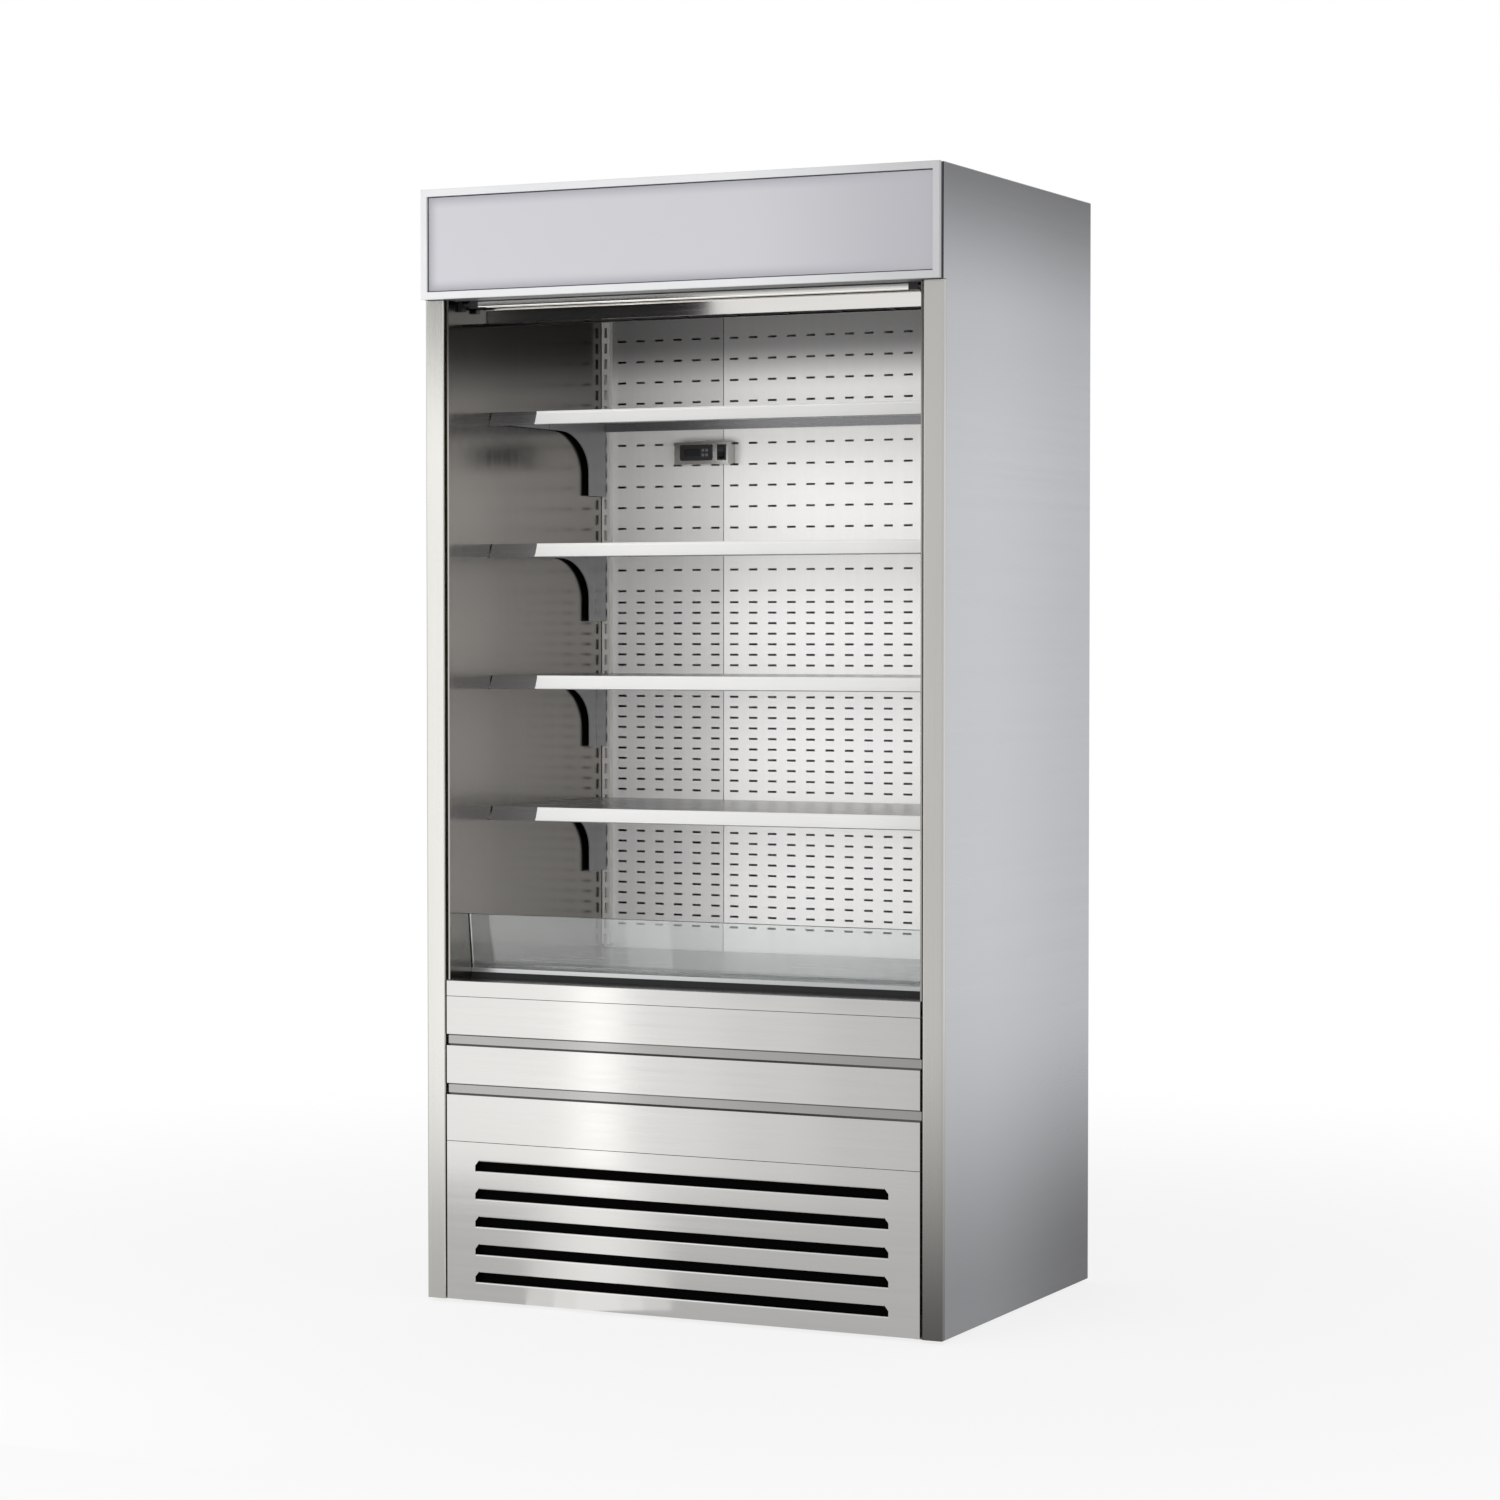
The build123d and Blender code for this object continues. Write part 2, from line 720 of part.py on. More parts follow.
def duct_panel_left():
    """The narrow left duct panel, joggled back where the right one laps over it."""
    x0 = panel_lap_x
    section = folded([
        (-liner_x, duct_y), (x0 - skin, duct_y), (x0, duct_y + skin), (x0 + lap, duct_y + skin),
    ], skin)
    sheet = along_z(section, duct_bottom, ceiling_z)
    return holes(sheet, duct_slots(-liner_x, x0 - duct_slot[0] / 2))


def duct_panel_right():
    x0 = panel_lap_x + fit
    sheet = block((x0, liner_x), (duct_y, duct_y + skin), (duct_bottom, ceiling_z))
    return holes(sheet, duct_slots(x0 + duct_slot[0] / 2, liner_x))


parts["side_liners"] = group(side_liner(), deck_ledge(), mirrored(side_liner()), mirrored(deck_ledge()))
parts["evaporator_tub"] = group(tub_outer_sheet(), evaporator_tub())
parts["bottom_deck"] = bottom_deck()
parts["intake_grille"] = intake_grille()
parts["rear_duct_panels"] = group(duct_panel_left(), duct_panel_right())


def ceiling_liner():
    """The display's ceiling, turned down at the front behind the discharge grille."""
    y0 = front + canopy_set_back + panel + discharge_depth + skin
    section = folded([
        (y0 - canopy_lip, canopy_z), (y0, canopy_z), (y0, ceiling_z), (duct_y + skin, ceiling_z),
    ], skin)
    return along_x(section, -liner_x, liner_x)


parts["ceiling_liner"] = ceiling_liner()


def uprights():
    """Two slotted channels on the duct panels that the shelf brackets hook into."""
    x = upright_x
    w = upright_width / 2
    section = folded([
        (x - w, duct_y), (x - w, upright_y), (x + w, upright_y), (x + w, duct_y),
    ], upright_sheet)
    channel = along_z(section, upright_bottom, ceiling_z)
    slot = Box(slot_size[0], 4 * upright_sheet, slot_size[1])
    first = hook_z(first_shelf) + slot_size[1] / 2
    below = int((first - upright_bottom) / slot_pitch)
    above = int((ceiling_z - first) / slot_pitch)
    zs = [first + slot_pitch * k for k in range(1 - below, above)]
    channel = holes(channel, [Pos(x, upright_y, z) * slot for z in zs])
    return pair(channel)


def hook_z(top):
    """Height of the slot edge that a shelf's hook rests on: the line the shelf tilts about."""
    return top - hinge_drop


parts["shelf_uprights"] = uprights()


# ---- Shelves
def shelf_deck(top):
    """A shelf: a sheet with a tilted price lip in front and folded edges at the sides and rear."""
    section = folded([
        (shelf_y - lip_reach + lip_return, top - lip_drop), (shelf_y - lip_reach, top - lip_drop),
        (shelf_y, top), (shelf_back, top), (shelf_back, top - side_flange),
    ], -deck_sheet)
    deck = along_x(section, -shelf_half, shelf_half)
    z = (top - side_flange, top - deck_sheet)
    side = block((shelf_half - deck_sheet, shelf_half), (shelf_y, shelf_back), z)
    notch_x = (upright_x - bracket_sheet, upright_x + bracket_sheet)
    notch_y = (shelf_back - 2 * deck_sheet, shelf_back + beyond)
    notch = block(notch_x, notch_y, (z[0] - beyond, z[1]))
    return deck + side + mirrored(side) - notch - mirrored(notch)


def shelf_bracket(top):
    """The right bracket: arm, curved web and leg in one plate, with a hook and a tab."""
    seat = top - deck_sheet
    pivot = hook_z(top)
    tip = shelf_y + bracket_front
    rear = upright_y - fit
    leg = rear - bracket_leg
    foot_z = top - bracket_length
    under = seat - bracket_arm
    relief = rear - hinge_drop * math.tan(math.radians(tilt_angle)) - tilt_relief
    with BuildLine() as outline:
        Polyline((leg - arch[0], under), (tip + tip_corner, under), (tip, seat - tip_corner), (tip, seat),
                 (relief, seat), (relief, pivot), (rear, pivot - hook_seat), (rear, foot_z), (leg, foot_z),
                 (leg, under - arch[1]))
        EllipticalCenterArc((leg - arch[0], under - arch[1]), arch[0], arch[1], 0, arc_size=90)
    plate = make_face(outline.line)
    root = relief - beyond
    hook = hinge_y + hook_gap
    neck = polygon([
        (root, pivot + hook_seat), (hook, pivot + hook_seat), (hook, pivot - hook_drop),
        (hook + hook_thickness, pivot - hook_drop), (hook + hook_thickness, pivot + neck_height),
        (root, pivot + neck_height),
    ])
    tab_z = pivot - tab_slots * slot_pitch + slot_size[1] / 2
    tab = Pos((rear - beyond + hinge_y + tab_length) / 2, tab_z) * Rectangle(
        hinge_y + tab_length - rear + beyond, tab_height)
    x = upright_x - bracket_sheet / 2
    pieces = [along_x(face, x, x + bracket_sheet) for face in (plate, neck, tab)]
    return pieces[0] + pieces[1] + pieces[2]


def ticket_strip(top):
    """The white price strip on the shelf's lip: a shallow channel with rolled edges."""
    slope = math.hypot(lip_reach, lip_drop)
    along = Vector(-lip_reach, -lip_drop) / slope
    out = Vector(along.Y, -along.X)
    origin = Vector(shelf_y, top) + along * (slope - ticket_height) / 2 + out * fit
    t = ticket_sheet
    low = ticket_height - 2 * t
    corners = [(0, 0), (0, 2 * t), (2 * t, 2 * t), (2 * t, t), (low, t), (low, 2 * t),
               (ticket_height, 2 * t), (ticket_height, 0)]
    places = [origin + along * down + out * off for down, off in corners]
    section = polygon([(place.X, place.Y) for place in places])
    return along_x(section, -shelf_half + ticket_start, shelf_half - ticket_sheet)


for number, top in enumerate(shelf_tops, start=1):
    parts[f"shelf_{number}_deck"] = shelf_deck(top)
    parts[f"shelf_{number}_brackets"] = pair(shelf_bracket(top))
    parts[f"shelf_{number}_ticket_strip"] = ticket_strip(top)


# ---- Front panels
def pan_sides(section):
    """Closes the two ends of a front panel with folded cheeks of the given outline."""
    end = along_x(section, panel_x - panel, panel_x)
    return [end, mirrored(end)]


def fascia():
    """The middle front panel: one sheet with two horizontal grooves, folded back on all sides."""
    low, mid, high = fascia_flats
    z = fascia_z
    points = [(front, z)]
    for flat in (low, mid):
        z += flat
        points += [(front, z), (front + groove_depth, z + groove_slope)]
        z += groove_height
        points += [(front + groove_depth, z - groove_slope), (front, z)]
    points.append((front, fascia_top))
    back_y = front + pan_depth
    section = folded([(back_y, fascia_z), *points, (back_y, fascia_top)], -panel)
    cheeks = pan_sides(polygon([(back_y, fascia_z), *points, (back_y, fascia_top)]))
    return along_x(section, -panel_x, panel_x) + cheeks


def louvre_panel():
    """The lower front panel, a pan with five louvres whose lips are pressed inwards."""
    y1 = front + pan_depth - fit
    inside = panel_x - panel
    outer = block((-panel_x, panel_x), (front, y1), (louvre_z, louvre_top))
    inner = block((-inside, inside), (front + panel, y1 + beyond), (louvre_z + panel, louvre_top - panel))
    pan = outer - inner
    a = panel_x - louvre_side
    shoulder = louvre_height - louvre_corner
    slot = along_y(polygon([
        (-a, 0), (a, 0), (a, shoulder), (a - louvre_corner, louvre_height),
        (-a + louvre_corner, louvre_height), (-a, shoulder),
    ]), front - beyond, front + panel)
    top_slot = louvre_top - louvre_top_margin - louvre_height
    places = [Pos(0, 0, top_slot - i * louvre_pitch) for i in range(louvre_count)]
    pan = holes(pan, [place * slot for place in places])
    return pan + [place * louvre_scoop(a) for place in places]


def louvre_scoop(a):
    """One pressed lip: a quarter-round ramp that rises inwards, closed by a cheek at each end."""
    rise = louvre_height - louvre_mouth
    deep = front + louvre_throw
    angles = [math.radians(90 * k / louvre_steps) for k in range(louvre_steps + 1)]
    face = [(deep - louvre_throw * math.cos(t), rise * math.sin(t)) for t in angles]
    rear = [(deep - (louvre_throw - panel) * math.cos(t), (rise - panel) * math.sin(t)) for t in angles]
    ramp = along_x(polygon([*face, *reversed(rear)]), -a, a)
    cheek = polygon([(front, 0), *rear, (deep, rise), (front, louvre_height - louvre_corner)])
    end = along_x(cheek, a - panel, a)
    return ramp + end + mirrored(end)


def cap_rail():
    """The rail over the fascia, its top running back to the foot of the glass."""
    y1 = front + cap_reach
    section = folded([
        (tub_sheet_y, cap_z), (front, cap_z), (front, cap_top), (y1, cap_top),
    ], -panel)
    rail_shape = along_x(section, -panel_x, panel_x)
    wide = block((liner_x, half), (front + pan_depth, y1 + beyond), (cap_z, cap_top + beyond))
    return rail_shape - wide - mirrored(wide)


parts["front_fascia"] = fascia()
parts["louvre_panel"] = louvre_panel()
parts["cap_rail"] = cap_rail()


# ---- Glass riser
def glass_clamp():
    """The U-section that holds the lower edge of the glass."""
    y0 = glass_y
    y1 = y0 + clamp_width
    z0 = tub_top
    outer = block((-liner_x + fit, liner_x - fit), (y0, y1), (z0, cap_top + clamp_height))
    return outer - glass_pane(-half, half)


def glass_pane(x0, x1):
    """The pane from x0 to x1: a strip that leans forward from its foot in the clamp."""
    foot_z = cap_top - glass_seat
    top_z = foot_z + glass_height
    y0 = glass_y + (clamp_width - glass_thickness) / 2 + glass_offset
    lean = glass_lean / glass_height
    y1 = y0 - (top_z - foot_z) * lean
    y0 -= (cap_top - foot_z) * lean
    return along_x(polygon([
        (y0, cap_top), (y0 + glass_thickness, cap_top), (y1 + glass_thickness, top_z), (y1, top_z),
    ]), x0, x1)


def glass_riser():
    """The toughened glass strip that keeps goods and cold air in, its top edge rounded."""
    pane = glass_pane(glass_end - liner_x, liner_x - glass_end)
    return fillet(pane.edges().filter_by(Axis.X).group_by(Axis.Z)[-1], glass_edge)


parts["glass_clamp"] = glass_clamp()
parts["glass_riser"] = glass_riser()


# ---- Header
def frame_ring(outer, inner, y):
    """A rectangular ring between two (half width, low z, high z) rectangles."""
    a, b = outer, inner
    opening = block((-b[0], b[0]), (y[0] - beyond, y[1] + beyond), (b[1], b[2]))
    return block((-a[0], a[0]), y, (a[1], a[2])) - opening


def header_frame():
    """The bright frame round the sign, its outer edge broken."""
    y0 = front - header_proud
    y1 = y0 + header_frame_depth
    f = header_face
    ring = frame_ring((half, header_z, height), (half - f, header_z + f, height - f), (y0, y1))
    rim = ring.faces().sort_by(Axis.Y)[0].outer_wire().edges()
    return chamfer(rim, header_edge)


def sign_panel():
    f = header_face - sign_overlap
    y = front - header_proud + header_frame_depth
    return block((-half + f, half - f), (y, y + sign_thickness), (header_z + f, height - f))


def light_box():
    """The tray behind the sign: a back with four sides and a rim that the sign sits against."""
    y0 = front - header_proud + header_frame_depth
    y1 = front + light_box_back
    x = half - skin - light_box_inset
    z = (header_z + fit, cover_z - fit)
    s = skin
    tray = block((-x, x), (y0, y1), z) - block((s - x, x - s), (y0 - beyond, y1 - s), (z[0] + s, z[1] - s))
    f = header_face - sign_overlap
    return tray - block((f - half, half - f), (y0 - beyond, y0 + sign_thickness), (header_z + f, height - f))


def light_strips():
    """Two light strips on the back of the light box."""
    length, depth, tall = light_strip
    y = front + light_box_back - skin
    bar = Box(length, depth, tall)
    return group(*[Pos(0, y - depth / 2, header_z + header_height * share) * bar for share in light_heights])


parts["header_frame"] = header_frame()
parts["header_sign_panel"] = sign_panel()
parts["header_light_box"] = light_box()
parts["header_light_strips"] = light_strips()


# ---- Canopy and curtain
def canopy_band():
    """The folded band under the header that guides the cold air down into its curtain."""
    y = front + canopy_set_back
    section = folded([
        (y + canopy_lip, canopy_z), (y, canopy_z), (y, canopy_z + canopy_face),
        (y + canopy_step, canopy_z + canopy_face), (y + canopy_step, cover_z),
    ], -panel)
    return along_x(section, -liner_x, liner_x)


def honeycomb():
    """The discharge grille, a frame of open cells between the canopy and the ceiling's front."""
    y0 = front + canopy_set_back + panel
    y1 = y0 + discharge_depth
    z0 = canopy_z + panel
    body = block((-liner_x, liner_x), (y0, y1), (z0, z0 + honeycomb_height))
    nx, ny = honeycomb_cells
    w = (2 * liner_x - honeycomb_wall) / nx
    d = (discharge_depth - honeycomb_wall) / ny
    cell = Box(w - honeycomb_wall, d - honeycomb_wall, 4 * honeycomb_height)
    xs = [(i - (nx - 1) / 2) * w for i in range(nx)]
    ys = [(y0 + y1) / 2 + (j - (ny - 1) / 2) * d for j in range(ny)]
    return holes(body, [Pos(x, y, z0) * cell for x in xs for y in ys])


def curtain_bar():
    """The pull bar at the end of the curtain, an extrusion with rounded edges."""
    x = roller_end - fit - bar_glide - bar_cap
    y = (front + bar_set_back, front + bar_set_back + bar_depth)
    z = (header_z - bar_height, header_z)
    bar = block((-x, x), y, z)
    return fillet(bar.edges().filter_by(Axis.X), bar_edge)


def curtain_bar_caps():
    x0 = roller_end - fit - bar_glide - bar_cap
    y0 = front + bar_set_back
    y = (y0 - cap_over, y0 + bar_depth + cap_over)
    z = (header_z - bar_height - cap_over, header_z - cap_under)
    return pair(block((x0, x0 + bar_cap), y, z))


def curtain_glides():
    """White end glides that keep the bar square in the opening."""
    x0 = roller_end - fit - bar_glide
    y = front + bar_set_back + bar_depth / 2
    z = header_z - bar_height / 2
    return pair(prism_x(y, z, glide_radius, round_sides, x0, x0 + bar_glide))


def curtain_brackets():
    """End brackets that carry the roller's pins."""
    y0 = front + bar_set_back - bracket_margin
    y1 = y0 + bracket_back
    low = header_z - bar_height - 3 * bracket_margin
    shoulder = canopy_z + canopy_face + 2 * bracket_margin
    reach = roller_radius + 2 * bracket_margin
    outline = polygon([
        (y0, low), (y1, low), (y1, shoulder), (curtain_y + reach, shoulder),
        (curtain_y + reach, curtain_z + reach), (curtain_y - reach, curtain_z + reach),
        (y0, curtain_z - 2 * reach),
    ])
    bore = rod_x(curtain_y, curtain_z, roller_pin + pin_clearance, 0, half)
    return pair(along_x(outline, roller_end, liner_x) - bore)


def curtain_roller():
    """The spring roller: a tube with a pin at each end."""
    x = roller_end - pin_shoulder
    tube = prism_x(curtain_y, curtain_z, roller_radius, round_sides, -x, x)
    return tube + rod_x(curtain_y, curtain_z, roller_pin, -liner_x + fit, liner_x - fit)


def rolled_curtain():
    x = roller_end - fit - bar_glide
    roll = prism_x(curtain_y, curtain_z, roll_radius, round_sides, -x, x)
    return roll - prism_x(curtain_y, curtain_z, roller_radius, round_sides, -x - beyond, x + beyond)


def curtain_stretch():
    """The short length of cloth between the roll and the bar."""
    x = roller_end - fit - bar_glide
    y = cloth_y - fit
    return block((-x, x), (y - curtain_cloth, y), (header_z + cap_under, curtain_z))


parts["canopy_band"] = canopy_band()
parts["discharge_honeycomb"] = honeycomb()
parts["curtain_bar"] = curtain_bar()
parts["curtain_bar_ends"] = group(curtain_bar_caps(), curtain_glides())
parts["curtain_brackets"] = curtain_brackets()
parts["curtain_roller"] = curtain_roller()
parts["rolled_curtain"] = rolled_curtain()
parts["curtain_cloth"] = curtain_stretch()


# ---- Controller
def controller_housing():
    """The folded box on the rear panel, with openings for the controller and the switch."""
    s = control_sheet
    outer = block(control_x, (control_y, duct_y), control_z)
    inside = ((control_x[0] + s, control_x[1] - s), (control_z[0] + s, control_z[1] - s))
    shell = outer - block(inside[0], (control_y + s, duct_y + beyond), inside[1])
    for x, z in ((bezel_x, bezel_z), (rocker_x, rocker_z)):
        y = (control_y - beyond, control_y + s + beyond)
        shell -= block((x[0] + s, x[1] - s), y, (z[0] + s, z[1] - s))
    return shell


def controller():
    """The electronic thermostat: a bezel with a sunk window in front, its body through the housing."""
    face = control_y - bezel_proud
    bezel = block(bezel_x, (face, control_y), bezel_z)
    bezel = chamfer(bezel.edges().filter_by(Axis.Y), bezel_chamfer)
    left, right = window_margin
    window_z = (bezel_z[0] + left, bezel_z[1] - left)
    window = block((bezel_x[0] + left, bezel_x[1] - right), (face - beyond, face + window_recess), window_z)
    s = 2 * control_sheet
    body = block((bezel_x[0] + s, bezel_x[1] - s), (control_y, duct_y - s), (bezel_z[0] + s, bezel_z[1] - s))
    return bezel - window + body


def rocker_frame():
    """The switch's frame: a ring on the housing and a well behind it, bored for the rocker's pins."""
    s = control_sheet
    ring = block(rocker_x, (control_y - s, control_y), rocker_z)
    y = (control_y, control_y + well_depth)
    tube = block((rocker_x[0] + s, rocker_x[1] - s), y, (rocker_z[0] + s, rocker_z[1] - s))
    w = rocker_rim
    y = (control_y - s - beyond, control_y + well_depth + beyond)
    well = block((rocker_x[0] + w, rocker_x[1] - w), y, (rocker_z[0] + w, rocker_z[1] - w))
    axis_y = control_y + rocker_pivot
    bore = rod_x(axis_y, sum(rocker_z) / 2, rocker_pin + shaft_clearance, *rocker_x)
    return ring + tube - well - bore


def rocker():
    """The rocker key, drawn level and tipped until its upper end is pressed in."""
    reach = rocker_size[1] / 2 - rocker_rim - rocker_gap
    tip = reach - 1.0
    deep = rocker_pivot + rocker_proud
    rise = deep + tip * math.tan(math.radians(rocker_angle / 2))
    section = polygon([(-deep, 0), (-rise, tip), (0, reach), (rocker_back, 0), (0, -reach), (-rise, -tip)])
    x0 = rocker_x[0] + rocker_rim
    x1 = rocker_x[1] - rocker_rim
    pins = rod_x(0, 0, rocker_pin, x0 - pin_reach, x1 + pin_reach)
    key = along_x(section, x0 + fit, x1 - fit) + pins
    turn = Rot(-rocker_angle / 2, 0, 0)
    return Pos(0, control_y + rocker_pivot, sum(rocker_z) / 2) * turn * key


parts["controller_housing"] = controller_housing()
parts["controller"] = group(controller(), rocker_frame())
parts["switch_rocker"] = rocker()


# ---- Fans, coils and the refrigeration unit
def fan_rotor(radius):
    """A pressed fan: hub and pitched, cambered blades, its axis along Z, its middle at the origin."""
    chord = radius * blade_chord
    camber = [(-chord / 2, 0), (0, chord * blade_camber), (chord / 2, 0)]
    section = Rot(0, 0, blade_pitch) * folded(camber, blade_sheet)
    tip = math.sqrt(radius**2 - chord**2 / 4)
    blade = along_x(section, fan_hub - blade_root, tip)
    rotor = prism_z(0, 0, fan_hub, round_sides, -fan_width / 2, fan_width / 2)
    for i in range(fan_blades):
        rotor += Rot(0, 0, i * 360 / fan_blades) * blade
    return rotor - rod_z(0, 0, shaft_radius + shaft_clearance, hub_face - fan_width / 2, fan_width)


def fan_motor(reach, plate_at):
    """A small motor on the +Z side, with its shaft into the hub and three arms down to a plate."""
    foot = fan_width / 2 + motor_gap
    width, sheet = motor_arm
    motor = prism_z(0, 0, motor_radius, round_sides, foot, foot + motor_length)
    arm_z = foot + motor_gap + sheet
    arm = block((0, reach), (-width / 2, width / 2), (arm_z, arm_z + sheet))
    leg = block((reach - sheet, reach), (-width / 2, width / 2), (plate_at, arm_z + sheet))
    for i in range(3):
        motor += Rot(0, 0, i * 120 - 90) * (arm + leg)
    return motor + rod_z(0, 0, shaft_radius, foot - shaft_length, foot)


def coil(x, y, z, fins, tiers):
    """A finned coil open from front to back: upright fins with level tiers of tube between them."""
    across = (x[1] - x[0] - fin_sheet) / (fins - 1)
    up = (z[1] - z[0] - tier_sheet) / tiers
    cell = Box(across - fin_sheet, 2 * (y[1] - y[0]), up - tier_sheet)
    x0 = x[0] + (fin_sheet + across) / 2
    z0 = z[0] + (tier_sheet + up) / 2
    xs = [x0 + i * across for i in range(fins - 1)]
    zs = [z0 + j * up for j in range(tiers)]
    return holes(block(x, y, z), [Pos(cell_x, y[0], cell_z) * cell for cell_x in xs for cell_z in zs])


def return_bends(x, y, z, count):
    """U-bends at the coil's right end, each joining two neighbouring tubes, from height z up."""
    t = tube_radius
    ring = RegularPolygon(tube_pitch / 2 + t, bend_sides) - RegularPolygon(tube_pitch / 2 - t, bend_sides)
    bend = ring & Pos(tube_pitch, 0) * Rectangle(2 * tube_pitch, 2 * tube_pitch)
    return [along_y(Pos(x, z + 2 * i * tube_pitch) * bend, y - t, y + t) for i in range(count)]


def evaporator_coil():
    """The evaporator, on two legs in the tub, with a column of return bends near each face."""
    x = (-coil_half, coil_half)
    y = (coil_y, coil_y + coil_size[0])
    z = (tub_floor + coil_lift, tub_floor + coil_lift + coil_size[1])
    shape = coil(x, y, z, evaporator_fins, evaporator_tiers)
    for end in (x[0], x[1] - fin_sheet):
        shape += block((end, end + fin_sheet), y, (tub_floor, z[0]))
    first = z[0] + coil_size[1] / 2 - tube_pitch
    for column in (0.25, 0.75):
        shape += return_bends(x[1], y[0] + coil_size[0] * column, first, 2)
    return shape


def fan_plate():
    """The plate across the tub that carries the two evaporator fans."""
    y = fan_plate_y
    x = liner_x - deck_sheet - 2 * fit
    plate = block((-x, x), (y, y + panel), (tub_floor, fan_plate_top))
    foot_strip = block((-x, x), (y, y + hem), (tub_floor, tub_floor + panel))
    mouth = prism_y(fan_x, fan_z, fan_radius + fan_clearance, mouth_sides, y - beyond, y + panel + beyond)
    return holes(plate + foot_strip, [mouth, mirrored(mouth)])


fan_turn = Rot(-90, 0, 0)


def evaporator_fan(x):
    return Pos(x, fan_y, fan_z) * fan_turn * fan_rotor(fan_radius)


def evaporator_motor(x):
    arms = fan_motor(fan_radius + motor_reach, fan_plate_y + panel - fan_y)
    return Pos(x, fan_y, fan_z) * fan_turn * arms


parts["evaporator_coil"] = evaporator_coil()
parts["evaporator_fan_plate"] = fan_plate()
parts["evaporator_fan_left"] = evaporator_fan(-fan_x)
parts["evaporator_fan_right"] = evaporator_fan(fan_x)


def condenser_coil():
    y = (condenser_y, shroud_y)
    z = (tray_top, tray_top + condenser_size[1])
    shape = coil(condenser_x, y, z, condenser_fins, condenser_tiers)
    first = z[0] + condenser_size[1] / 2 - 2 * tube_pitch
    return shape + return_bends(condenser_x[1], sum(y) / 2, first, 3)


def condenser_shroud():
    """The box that guides the air from the condenser to its fan."""
    y = (shroud_y, shroud_y + shroud_depth)
    z = (tray_top, tray_top + condenser_size[1])
    s = panel
    inner_x = (condenser_x[0] + s, condenser_x[1] - s)
    inner = block(inner_x, (y[0] - beyond, y[1] - s), (z[0] + s, z[1] - s))
    radius = condenser_fan_radius + fan_clearance
    mouth = prism_y(condenser_mid_x, condenser_mid_z, radius, mouth_sides, y[1] - 2 * s, y[1] + beyond)
    return block(condenser_x, y, z) - inner - mouth


condenser_axis = Pos(condenser_mid_x, condenser_fan_y, condenser_mid_z) * fan_turn


def condenser_motor():
    plate_at = shroud_y + shroud_depth - condenser_fan_y
    return condenser_axis * fan_motor(condenser_fan_radius + motor_reach, plate_at)


parts["condenser_coil"] = condenser_coil()
parts["condenser_fan_shroud"] = condenser_shroud()
parts["condenser_fan"] = condenser_axis * fan_rotor(condenser_fan_radius)
parts["fan_motors"] = group(evaporator_motor(-fan_x), evaporator_motor(fan_x), condenser_motor())


def compressor():
    """The hermetic compressor: two shells welded at the waist, on a footed plate, with two pipe stubs."""
    r = compressor_radius
    h = compressor_height
    proud, band = weld_band
    waist = h / 2
    body = prism_z(0, 0, r, shell_sides, 0, h * shell_shoulder)
    body += prism_z(0, 0, r + proud, shell_sides, waist, waist + band)
    rim = Pos(0, 0, h * shell_shoulder) * RegularPolygon(r, shell_sides)
    body += extrude(rim, amount=h * (1 - shell_shoulder), taper=shell_taper)
    reach, share, sheet = compressor_plate
    body += Box(2 * r + reach, r * share, sheet)
    for sx in (-1, 1):
        for sy in (-1, 1):
            body += block((sx * r - sheet, sx * r + sheet), (sy * r / 2 - sheet, sy * r / 2 + sheet),
                          (-compressor_feet, 0))
    for y, z in (discharge_stub, suction_stub):
        body += prism_x(y, z, pipe_radius + stub_wall, pipe_sides, r * 0.7, r + stub_length)
    return Pos(compressor_x, compressor_y, tray_top + compressor_feet) * body


parts["compressor"] = compressor()


def pipe(points):
    """A copper pipe with straight runs, each corner turned in two half bends."""
    places = [Vector(*point) for point in points]
    path = [places[0]]
    for before, corner, after in zip(places, places[1:], places[2:]):
        path += [corner + (before - corner).normalized() * pipe_corner]
        path += [corner + (after - corner).normalized() * pipe_corner]
    path.append(places[-1])
    section = Plane(origin=places[0], z_dir=places[1] - places[0]) * RegularPolygon(pipe_radius, pipe_sides)
    return sweep(section, path=Polyline(*path), transition=Transition.RIGHT)


def refrigerant_pipes():
    """Discharge, liquid and suction pipes between compressor, condenser and evaporator."""
    out_x = compressor_x + compressor_radius + stub_length
    z0 = tray_top + compressor_feet
    mid_y = condenser_y + condenser_size[0] / 2
    top = tray_top + condenser_size[1]
    (ax, ay), (bx, by) = risers
    y1, z1 = compressor_y + discharge_stub[0], z0 + discharge_stub[1]
    y2, z2 = compressor_y + suction_stub[0], z0 + suction_stub[1]
    z3 = tray_top + liquid_exit
    z4 = tub_floor + riser_rise
    rise_x = out_x + pipe_lead
    entry_x = condenser_x[0] + pipe_entry
    over = top + pipe_over
    discharge = pipe([
        (out_x, y1, z1), (rise_x, y1, z1), (rise_x, y1, over), (rise_x, mid_y, over),
        (entry_x, mid_y, over), (entry_x, mid_y, top),
    ])
    liquid = pipe([
        (condenser_x[1], mid_y, z3), (ax, mid_y, z3), (ax, ay, z3), (ax, ay, z4), (coil_half, ay, z4),
    ])
    suction = pipe([
        (out_x, y2, z2), (bx, y2, z2), (bx, by, z2), (bx, by, z4), (coil_half, by, z4),
    ])
    return group(discharge, liquid, suction)


